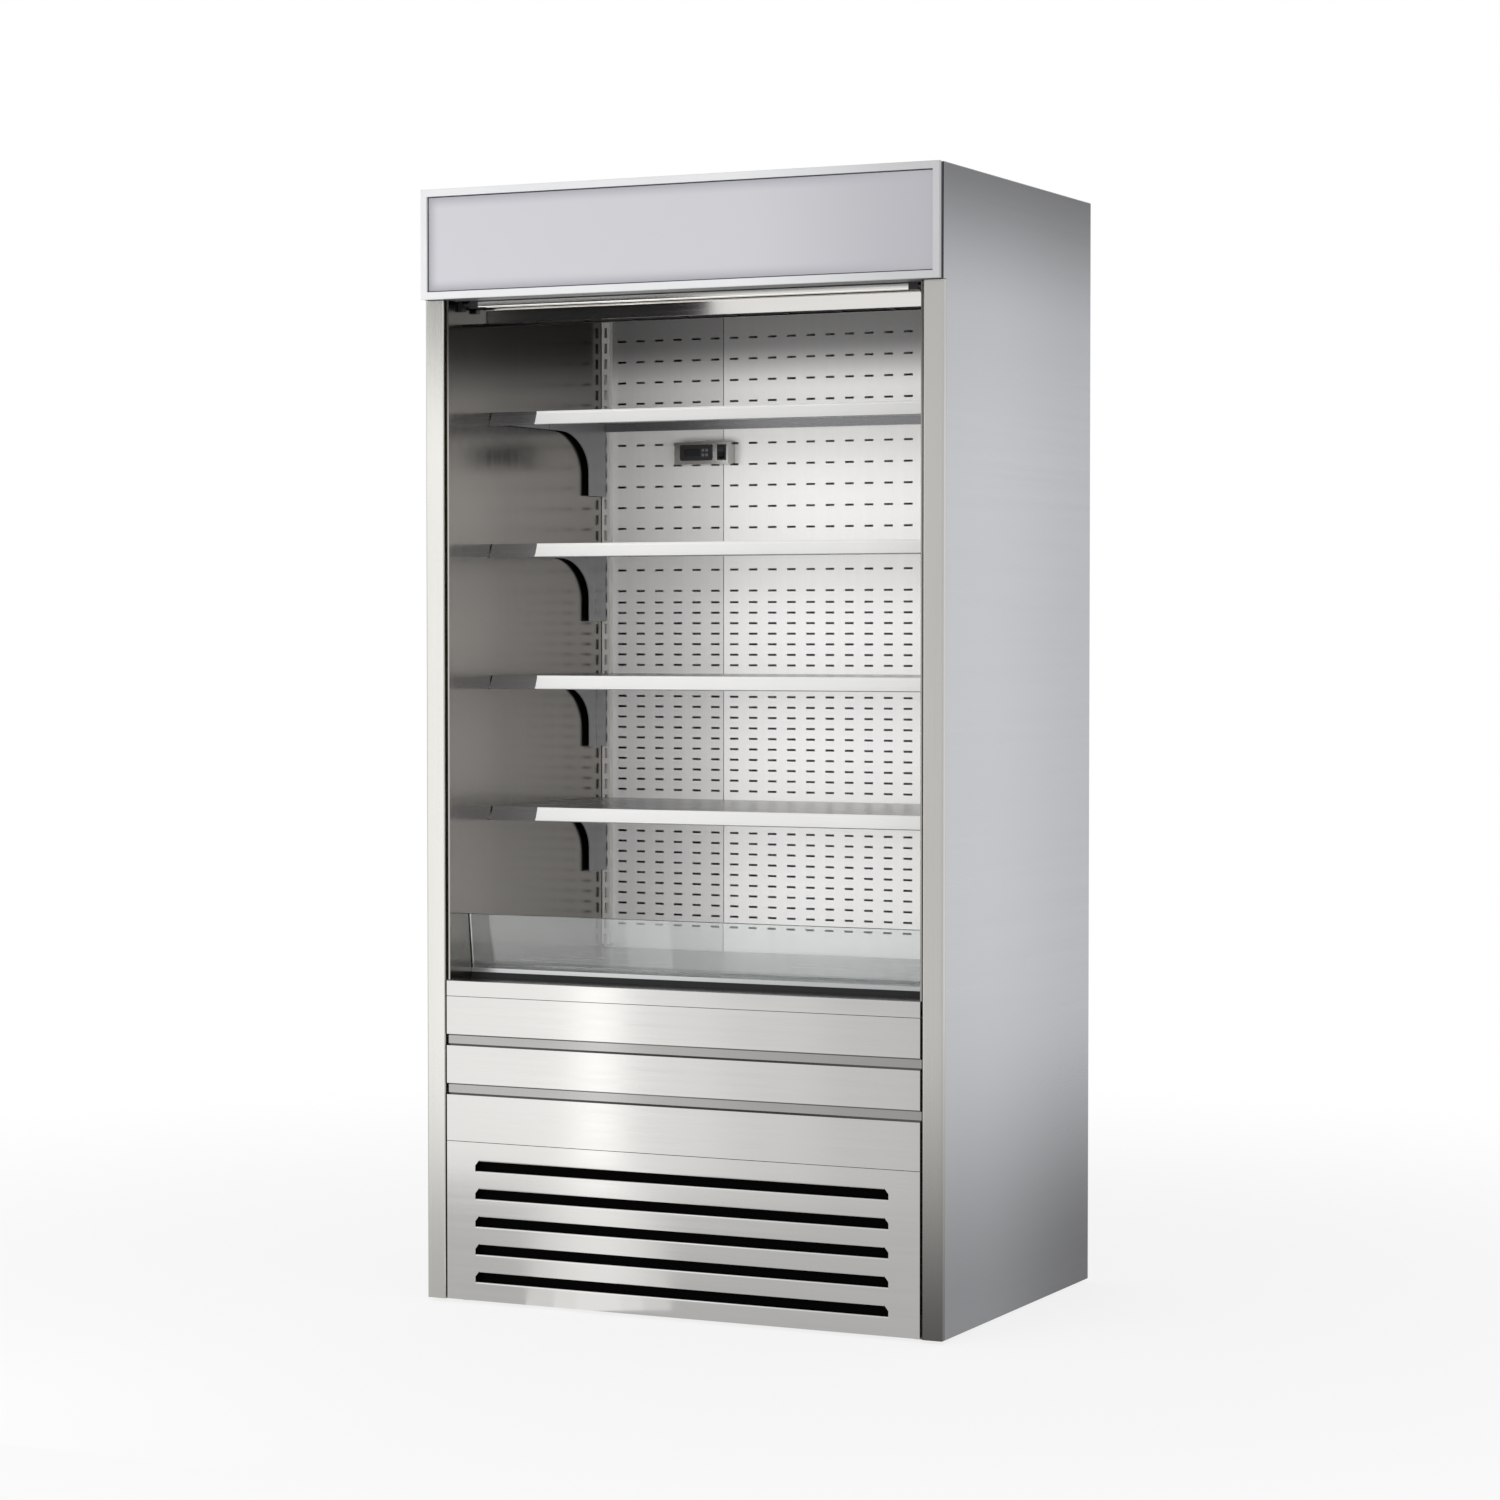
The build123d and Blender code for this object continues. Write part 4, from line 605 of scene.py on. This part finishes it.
# %% Dark pad behind the slots
shade_filter_foam = coated("shade_filter_foam", (5, 5, 5), 0.95, cell=700.0, depth=0.001, tone=0.3,
                     specular_ior_level=0.05)
pad_half, pad_front, pad_back = 0.425, pan_low.y + 0.0142, pan_low.y + 0.0182
pad = boxes((-pad_half, pad_front, pan_low.z + 0.012), (pad_half, pad_back, pan_high.z - 0.018))
make_piece("shade_filter_pad", pad, shade_filter_foam, "louvre_panel")


# %% [markdown]
# The uprights are channels with a slot every 30 mm, so a shelf can hang at any height. The flat sheet of
# slots is folded: what lies past the half width turns the corner and runs back to the wall.

# %% Uprights with all their slots
rail_low, rail_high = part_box("shelf_uprights")
rail_half, slot_half, hook_pitch, hook_slot = 0.0085, 0.003, 0.03, 0.019


def folded_rail(middle):
    """u is the way across the strip: within the half width it is x, past it the rest becomes depth."""
    def place(u, z):
        depth = np.maximum(np.abs(u) - rail_half, 0.0)
        return np.stack([middle + np.clip(u, -rail_half, rail_half), rail_low.y + depth, z], axis=-1)
    return place


side_run = rail_half + rail_high.y - rail_low.y
across = (np.array([-side_run, -rail_half, -slot_half, slot_half, rail_half, side_run]),
          np.arange(5) == 2)
hooks = 0.8833 + hook_pitch * np.arange(-9, 32)
upright_lines = lines(rail_low.z, rail_high.z, hooks, hook_slot)
middles = (rail_half - rail_high.x, rail_high.x - rail_half)
rails = [slotted(across, upright_lines, folded_rail(middle)) for middle in middles]
uprights = make_piece("uprights", joined(*rails), rail_steel, "cabinet",
                      wall=0.0018)
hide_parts("shelf_uprights")


# %% [markdown]
# Behind the glass the cold air goes back down through a finely pierced grille. It is the same folded
# sheet, with rows of small holes on its flat top.

# %% Return air grille
grille_low, grille_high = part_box("intake_grille")
flange = grille_high.z - grille_low.z
flat = grille_high.y - grille_low.y


def folded_grille(x, s):
    """s runs up the front flange, back over the flat top and down the rear flange."""
    y = grille_low.y + np.clip(s, 0.0, flat)
    z = grille_high.z + np.minimum(s, 0.0) + np.minimum(flat - s, 0.0)
    return np.stack([x, y, z], axis=-1)


hole_length, hole_width = 0.0055, 0.0048
holes_x = lines(grille_low.x, grille_high.x, (np.arange(88) - 43.5) * 0.01, hole_length)
rows_s, open_s = lines(0.0, flat, 0.0075 + 0.0084 * np.arange(8), hole_width)
holes_s = (np.concatenate([[-flange], rows_s, [flat + flange]]),
           np.concatenate([[False], open_s, [False]]))
grille = make_piece("grille", slotted(holes_x, holes_s, folded_grille), shelf_steel, "cabinet",
                    wall=sheet)
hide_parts("intake_grille")


# %% [markdown]
# The night curtain is one sheet of aluminised cloth, wound on a spring roller behind the sign. The wound
# part is a spiral that turns with the roller. The last few centimetres hang down to the bar.
# A cylinder would show as a stack of rings at its ends.

# %% Night curtain
bar_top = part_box("curtain_bar")[1].z
roll_low, roll_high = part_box("rolled_curtain")
roll_middle = (roll_low + roll_high) / 2
roll_half = roll_high.x
core_radius, cloth_radius, turns = 0.0143, 0.0203, 11.7
across_count, wound_count, hanging_count = 13, 480, 33
cloth_x = np.linspace(-roll_half, roll_half, across_count)


def spiral(x, t):
    """t from 0 to 1 winds outwards to the front of the roll: the radius grows evenly with the angle."""
    angle = math.pi - 2 * math.pi * turns * (1 - t)
    radius = core_radius + (cloth_radius - core_radius) * t
    y = roll_middle.y + radius * np.cos(angle)
    z = roll_middle.z + radius * np.sin(angle)
    return np.stack([x, y, z], axis=-1)


wind = np.linspace(0.0, 1.0, wound_count)
roll_points = spiral(*np.meshgrid(cloth_x, wind, indexing="ij"))
wound = make_piece("wound_curtain", (roll_points, grid_quads(across_count, wound_count)),
                   curtain_cloth, "curtain_roller", smooth=True)
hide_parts("rolled_curtain")

# %% [markdown]
# The hanging end is flat, from the middle of the roll down to the top of the bar, with its rows of points
# spread out evenly.

# %% Hanging end of the curtain
drop_z = np.linspace(roll_middle.z, bar_top, hanging_count)
drop_x, drop_height = np.meshgrid(cloth_x, drop_z, indexing="ij")
drop_y = np.full_like(drop_x, roll_middle.y - cloth_radius)
drop_points = np.stack([drop_x, drop_y, drop_height], axis=-1)
hanging = make_piece("hanging_curtain", (drop_points, grid_quads(across_count, hanging_count)),
                     curtain_cloth, None, smooth=True)
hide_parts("curtain_cloth")
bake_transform(hanging)


# %% [markdown]
# Behind the lower panel sits the refrigeration unit. Its compressor is a welded steel can on four rubber
# feet, so its form is a profile turned about an upright axis: bowl, welded waist and dome.

# %% Compressor
def turned(profile, middle, steps=64):
    """A profile of (radius, height) turned about the upright axis through middle."""
    angle = -np.linspace(0.0, 2 * math.pi, steps, endpoint=False)
    radius, height = profile[:, :1], profile[:, 1:]
    points = np.stack([middle[0] + radius * np.cos(angle), middle[1] + radius * np.sin(angle),
                       middle[2] + height + 0 * angle], axis=-1)
    return points, grid_quads(len(profile), steps, closed=True)


can_low, can_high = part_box("compressor")
foot_height, can_radius, bowl_radius, dome_rise, pole = 0.014, 0.084, 0.02, 0.045, 0.0005
can_middle = (-0.12, 0.07, can_low.z + foot_height)
can_height = can_high.z - can_middle[2]
quarter = np.linspace(0.0, math.pi / 2, 9)
bowl = np.stack([can_radius - bowl_radius * (1 - np.sin(quarter)), bowl_radius * (1 - np.cos(quarter))],
                axis=-1)
dome = np.stack([can_radius * np.cos(quarter), can_height - dome_rise * (1 - np.sin(quarter))], axis=-1)
waist = np.array([[0.084, 0.087], [0.089, 0.088], [0.0895, 0.091], [0.089, 0.094], [0.084, 0.095]])
can_profile = np.concatenate([[[pole, 0.0]], bowl, waist, dome[:-1], [[pole, can_height]]])
shell = turned(can_profile, can_middle)
print("compressor can", round(can_height, 4), "high")

# %% [markdown]
# The rubber feet have a waist and are turned like the can. The plate under it and the terminal box on its
# side are plain blocks. All of it is one piece, and splitting its edges keeps the corners sharp.

# %% Compressor feet, plate and terminal box
feet_x, feet_y = np.array([-0.078, -0.078, 0.078, 0.078]), np.array([-0.042, 0.042, -0.042, 0.042])
foot_spots = np.stack([can_middle[0] + feet_x, can_middle[1] + feet_y, np.full(4, can_low.z)], axis=-1)
foot_profile = np.array([[pole, 0.0], [0.009, 0.0], [0.009, 0.004], [0.006, 0.006], [0.009, 0.008],
                         [0.009, 0.0135], [pole, 0.0135]])
feet = [turned(foot_profile, spot, 16) for spot in foot_spots]
plate = boxes(np.add(can_middle, (-0.092, -0.055, -0.002)), np.add(can_middle, (0.092, 0.055, 0.0025)))
terminal = boxes(np.add(can_middle, (-0.03, -0.099, 0.035)), np.add(can_middle, (0.03, -0.079, 0.08)))
compressor = make_piece("compressor_body", joined(shell, plate, terminal, *feet), black_paint, "cabinet",
                        smooth=True)
smooth_edges = compressor.modifiers.new("edges", "EDGE_SPLIT")
smooth_edges.split_angle = math.radians(35)
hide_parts("compressor")


# %% [markdown]
# The copper pipes are soldered tube with smooth bends. A path is made first, its corners turned by
# curves, and a circle is carried along it. A Blender curve with a bevel would give the same tube.

# %% Copper pipes
def rounded(corners, reach=0.016, steps=7):
    """Straight runs whose corners c turn by (1-t)^2 a + 2t(1-t) c + t^2 b.

    The points a and b lie a reach before and after the corner.
    """
    corners = np.array(corners, dtype=float)
    back = corners[:-2] - corners[1:-1]
    ahead = corners[2:] - corners[1:-1]
    start = corners[1:-1] + reach * back / np.linalg.norm(back, axis=1, keepdims=True)
    end = corners[1:-1] + reach * ahead / np.linalg.norm(ahead, axis=1, keepdims=True)
    t = np.linspace(0.0, 1.0, steps)[None, :, None]
    bends = (1 - t) ** 2 * start[:, None] + 2 * t * (1 - t) * corners[1:-1, None] + t**2 * end[:, None]
    return np.concatenate([corners[:1], bends.reshape(-1, 3), corners[-1:]])


def tube(path, radius, sides=12):
    """A circle carried along a path: its plane is square to the run, its start set by one fixed axis."""
    along = np.gradient(path, axis=0)
    along /= np.linalg.norm(along, axis=1, keepdims=True)
    side = np.cross(along, (0.48, 0.62, 0.62))
    side /= np.linalg.norm(side, axis=1, keepdims=True)
    up = np.cross(along, side)
    angle = -np.linspace(0.0, 2 * math.pi, sides, endpoint=False)[None, :, None]
    points = path[:, None] + radius * (np.cos(angle) * side[:, None] + np.sin(angle) * up[:, None])
    return points, grid_quads(len(path), sides, closed=True)


small_pipe, large_pipe = 0.004, 0.0045
discharge = [(-0.03, 0.05, 0.1715), (-0.006, 0.05, 0.1715), (-0.006, 0.05, 0.2615),
             (-0.006, -0.2585, 0.2615), (0.13, -0.2585, 0.2615), (0.13, -0.2585, 0.2475)]
liquid = [(0.40, -0.2585, 0.0595), (0.43, -0.2585, 0.0595), (0.43, 0.1112, 0.0595),
          (0.43, 0.1112, 0.431), (0.40, 0.1112, 0.431)]
suction = [(-0.03, 0.11, 0.1215), (0.412, 0.11, 0.1215), (0.412, 0.0312, 0.1215),
           (0.412, 0.0312, 0.431), (0.40, 0.0312, 0.431)]
runs = [tube(rounded(discharge, 0.007), small_pipe), tube(rounded(liquid), small_pipe),
        tube(rounded(suction), large_pipe)]
pipes = make_piece("copper_pipes", joined(*runs), copper, "cabinet", smooth=True)
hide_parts("refrigerant_pipes")


# %% [markdown]
# A heat exchanger is a stack of thin aluminium fins on copper tube. The fins are hundreds of equal thin
# blocks, made in one array, and the tube ends show as bright bends at the side.

# %% Finned coils
last_fin, end_plate = 0.4, 0.002
tube_pitch, tube_radius = 0.03, 0.0048


def fins(node, pitch, thickness=0.0004):
    """Upright plates every pitch along x, filling the box of a node between its end plates."""
    low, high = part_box(node)
    right = min(high.x, last_fin)
    x = np.arange(low.x + pitch, right - pitch / 2, pitch)
    one = np.ones_like(x)
    stack = boxes(np.stack([x, low.y * one, low.z * one], axis=-1),
                  np.stack([x + thickness, high.y * one, high.z * one], axis=-1))
    ends = boxes([(low.x, low.y, low.z), (right - end_plate, low.y, low.z)],
                 [(low.x + end_plate, high.y, high.z), (right, high.y, high.z)])
    return joined(stack, ends), low.x, right


def coil(name, node, pitch, rows_y, first_z, count):
    """Fins, end plates, and under them the tubes with their bends, as two pieces."""
    stack, left, right = fins(node, pitch)
    body = make_piece(name + "_fins", stack, fin_aluminium, "cabinet")
    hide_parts(node)
    start, turn, loops = left + 0.001, right + 0.014, []
    for y in rows_y:
        for z in first_z + 2 * tube_pitch * np.arange(count):
            hairpin = [(start, y, z), (turn, y, z), (turn, y, z + tube_pitch), (start, y, z + tube_pitch)]
            loops.append(tube(rounded(hairpin, 0.0145), tube_radius, 10))
    make_piece(name + "_tubes", joined(*loops), copper, "cabinet", smooth=True)


coil("condenser", "condenser_coil", 0.0032, (-0.2585,), 0.0725, 3)
coil("evaporator", "evaporator_coil", 0.006, (0.0, 0.085), 0.386, 2)

# %% [markdown]
# The thermostat has a sunk display behind a dark lens, and four small keys. They are too fine for the
# solids, so they are thin blocks set into its bezel.

# %% Thermostat face
face_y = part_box("controller")[0].y
display = boxes((-0.2688, face_y + 0.0004, 1.5412), (-0.2342, face_y + 0.0012, 1.5548))
make_piece("thermostat_lens", display, lens_dark, "cabinet")
key_size = (0.0052, 0.001, 0.0052)
key_low = np.array([(x, face_y - 0.0006, z) for x in (-0.2305, -0.2225) for z in (1.5405, 1.5495)])
make_piece("thermostat_keys", boxes(key_low, key_low + key_size), grey_plastic, "cabinet")

# %% [markdown]
# Small round-headed screws hold the rear covers. One head is a profile of a few faces turned about an
# axis along y, copied to every place in one array.

# %% Screws
def heads(places, radius=0.004, height=0.0016):
    """Domed heads whose axes point along Y, one at each place: the same small profile, moved."""
    places = np.array(places)
    angle = np.linspace(0.0, 2 * math.pi, 10, endpoint=False)
    share = np.array([1.0, 0.9, 0.55, 0.02])[:, None] * radius
    rise = np.array([0.0, 0.45, 0.85, 1.0])[:, None] * height
    head = np.stack([share * np.cos(angle), rise + 0 * angle, share * np.sin(angle)], axis=-1)
    corners = grid_quads(*head.shape[:2], closed=True)
    head_starts = head[..., 0].size * np.arange(len(places))
    return places[:, None, None] + head, corners + head_starts[:, None, None, None]


cover_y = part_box("rear_covers")[1].y
seams = [(x, cover_y, z) for x in (-0.488, -0.24, 0.0, 0.24, 0.488) for z in (0.02, 0.285, 0.305, 1.97)]
flanks = [(x, cover_y, z) for x in (-0.488, 0.488) for z in (0.6, 0.95, 1.3, 1.65)]
make_piece("rear_screws", heads(seams + flanks), screw_steel, "cabinet", smooth=True)
print(len(seams + flanks), "screws")

# %% [markdown]
# Every solid keeps its shape and gets the finish of the real piece. Those that a detailed piece replaces
# get one too, so they look right if that piece is ever taken out.

# %% Dress the solids
finishes = {
    panel_steel: ("front_fascia", "louvre_panel", "cap_rail", "controller_housing", "intake_grille"),
    polished_steel: ("canopy_band",),
    trim_steel: ("front_trims",),
    skin_steel: ("side_skins",),
    liner_steel: ("side_liners", "ceiling_liner"),
    shelf_steel: ("bottom_deck", "shelf_uprights", *(f"shelf_{n}_deck" for n in (1, 2, 3, 4))),
    bracket_steel: tuple(f"shelf_{n}_brackets" for n in (1, 2, 3, 4)),
    ticket_white: tuple(f"shelf_{n}_ticket_strip" for n in (1, 2, 3, 4)),
    back_steel: ("rear_duct_panels",),
    galvanised: ("base_frame", "rear_covers", "top_cover", "rear_and_roof_liner", "machine_tray",
                 "evaporator_tub", "evaporator_fan_plate", "condenser_fan_shroud"),
    frame_white: ("header_frame",),
    sign: ("header_sign_panel",),
    tray_grey: ("header_light_box",),
    opal: ("header_light_strips",),
    foot_rubber: ("levelling_feet",),
    foam: ("insulation",),
    glass: ("glass_riser",),
    channel: ("glass_clamp",),
    black_plastic: ("discharge_honeycomb", "curtain_bar_ends", "curtain_brackets", "controller",
                    "switch_rocker"),
    bar_aluminium: ("curtain_bar", "curtain_roller"),
    fin_aluminium: ("evaporator_coil", "condenser_coil", "evaporator_fan_left", "evaporator_fan_right",
                    "condenser_fan"),
    black_paint: ("fan_motors", "compressor"),
    copper: ("refrigerant_pipes",),
    grey_plastic: ("drain_and_condensate_tray", "electrical_box_and_gland"),
    curtain_cloth: ("rolled_curtain", "curtain_cloth"),
}
for finish, nodes in finishes.items():
    for name in nodes:
        solid = bpy.data.objects[name]
        solid.data.materials.clear()
        solid.data.materials.append(finish.material)
print(sum(len(nodes) for nodes in finishes.values()), "solids dressed")

# %% [markdown]
# The studio is white all round. The world is white to the camera, in reflections and through glass, and
# dimmer as a light, so a colour renders about as it is written.

# %% World
world = bpy.data.worlds.new("studio")
bpy.context.scene.world = world
world.use_nodes = True
studio = Network(world.node_tree)


def seen_directly(network):
    """1 for rays from the camera, in a reflection or through glass, 0 for light that falls on things."""
    camera_ray = network.node("ShaderNodeLightPath", {}, {}, "Is Camera Ray")
    glossy_ray, glass_ray = camera_ray.output("Is Glossy Ray"), camera_ray.output("Is Transmission Ray")
    return camera_ray.maths("MAXIMUM", glossy_ray).maths("MAXIMUM", glass_ray)


as_light, as_backdrop = 0.6, 1.0
background = studio.nodes["Background"]
studio.put(background.inputs["Color"], (1.0, 1.0, 1.0))
studio.put(background.inputs["Strength"], as_light + (as_backdrop - as_light) * seen_directly(studio))
print("world", as_backdrop, "seen,", as_light, "as light")

# %% [markdown]
# The floor is a pale sheet that catches a soft shadow under the fridge. Further out it fades into the
# white of the backdrop, as paper swept up a studio wall does, so no horizon shows.

# %% Floor
def stage_sheet(name, corners, finish):
    """A flat sheet of the studio through four corners, which is no part of the fridge."""
    mesh = bpy.data.meshes.new(name)
    mesh.from_pydata(corners, [], [(0, 1, 2, 3)])
    mesh.materials.append(finish.material)
    made = bpy.data.objects.new(name, mesh)
    bpy.context.collection.objects.link(made)
    return made


paper = Finish("floor", roughness=0.9, base_color=srgb(242, 242, 242))
x, y, z = paper.axes()
away = (x * x + y * y) ** 0.5
near_glow = 0.8
glow = paper.node("ShaderNodeEmission", {}, {"Color": (1.0, 1.0, 1.0), "Strength": 1.0})
share = seen_directly(paper) * (near_glow + (1 - near_glow) * away.above(0.9, 2.6))
blend = paper.node("ShaderNodeMixShader", {}, {0: share, 1: Value(paper, paper.shader.outputs[0]), 2: glow})
paper.put(paper.nodes["Material Output"].inputs["Surface"], blend)
reach = 30.0
corners = [(-reach, -reach, 0), (reach, -reach, 0), (reach, reach, 0), (-reach, reach, 0)]
stage_sheet("floor", corners, paper)
print("floor", 2 * reach, "m across")

# %% [markdown]
# Everything is lit by soft rectangles, as in a studio. The camera doesn't see the lamps themselves, only
# their light and their reflections.

# %% Lamps
def lamp(name, place, aim, size, power):
    """A soft rectangular lamp at place, turned towards aim."""
    light = bpy.data.lights.new(name, "AREA")
    light.shape = "RECTANGLE"
    light.size, light.size_y = size
    light.energy = power
    made = bpy.data.objects.new(name, light)
    made.location = place
    made.rotation_euler = (Vector(aim) - Vector(place)).to_track_quat("-Z", "Y").to_euler()
    made.visible_camera = False
    bpy.context.collection.objects.link(made)
    print("lamp", name, round(power, 2), "W")
    return made


# %% [markdown]
# A row of tall strips close by on the left gives the front panels an upright band of light that fades
# slowly to the right. One lamp with a gradient would do too, but these steps melt together in the brushed
# steel, and each can be moved by itself.

# %% Upright strips in front of the panels
strip_y, strip_middle, strip_height = -1.67, 0.88, 1.9


def strip(name, left, right, radiance):
    """An upright lamp in front of the panels, from left to right; radiance 1 is as bright as white."""
    x, width = (left + right) / 2, right - left
    lamp(name, (x, strip_y, strip_middle), (x, 0.0, strip_middle), (width, strip_height),
         radiance * math.pi * width * strip_height)


strip("strip_plateau", -1.45, -0.91, 0.76)
strip("strip_bright", -0.91, -0.80, 1.5)
for number, (left, radiance) in enumerate(((-0.80, 0.5), (-0.56, 0.3), (-0.32, 0.12))):
    strip(f"strip_fading_{number}", left, left + 0.24, radiance)

# %% [markdown]
# The foot of the panels mirrors the floor in front. Low strips carry the band on there. They lie one in
# another, the narrow one brightest, so the band has a clear middle and soft sides.

# %% Low strips on the floor
low_place, low_length = (-0.51, -1.014, 0.004), 1.48
for number, (width, radiance) in enumerate(((0.08, 0.7), (0.16, 0.6), (0.26, 0.4))):
    low_strip = lamp(f"strip_low_{number}", low_place, (*low_place[:2], 1.0), (width, low_length),
                     radiance * math.pi * width * low_length)
    low_strip.rotation_euler = (math.pi, 0.0, -math.atan2(0.468, 0.884))

# %% [markdown]
# A lamp behind on the right shines along the side skin, a large one in front lights everything evenly, and
# one in each compartment lights the back wall. Those in front and inside stay out of reflections, or they
# would show as rectangles in the polished sheet.

# %% Soft lamps at the side, in front and inside
lamp("side_panel", (2.0, 3.9, 1.0), (0.5, 0.0, 1.0), (1.4, 1.9), 2.4)
front_soft = lamp("front_soft", (-1.2, -4.4, 2.6), (0.0, 0.0, 1.1), (2.4, 1.6), 50.0)
front_soft.visible_glossy = False
for number, height in enumerate((0.74, 1.0, 1.24, 1.48, 1.72)):
    inner = lamp(f"inner_{number}", (0.0, -0.13, height), (0.0, 0.2, height), (0.86, 0.16), 1.25)
    inner.visible_glossy = False
print(len(bpy.data.lights), "lamps")

# %% [markdown]
# Photographers keep a reflection dark with a black card. This one stands high on the left, where hardly
# anything but the polished band over the opening mirrors it, and only reflections see it.

# %% Black card
left, right, foot, head = -1.26, -0.655, 1.78, 2.3
card_y = strip_y + 0.01
black = Finish("card", base_color=(0.0, 0.0, 0.0), roughness=1.0)
card = stage_sheet("card", [(left, card_y, foot), (right, card_y, foot), (right, card_y, head),
                            (left, card_y, head)], black)
for ray in ("camera", "diffuse", "transmission", "shadow", "volume_scatter"):
    setattr(card, "visible_" + ray, False)
print("card", round(right - left, 3), "by", round(head - foot, 3))

# %% [markdown]
# The camera stands where the photograph was taken from: a long lens, about 7 m away, 26 degrees to the
# right of the front and a little above half height.

# %% Camera
camera_data = bpy.data.cameras.new("camera")
camera_data.lens = 91.09
camera_data.sensor_width = 36.0
camera = bpy.data.objects.new("camera", camera_data)
tilt_down, turn_left = math.radians(1.789), math.radians(25.589)
camera.location = (2.9707, -6.2480, 1.2083)
camera.rotation_euler = (math.pi / 2 - tilt_down, 0.0, turn_left)
bpy.context.collection.objects.link(camera)
bpy.context.scene.camera = camera
bpy.context.scene.view_settings.view_transform = "Standard"
print("camera", round(camera.location.length, 2), "m from the middle of the fridge's foot")
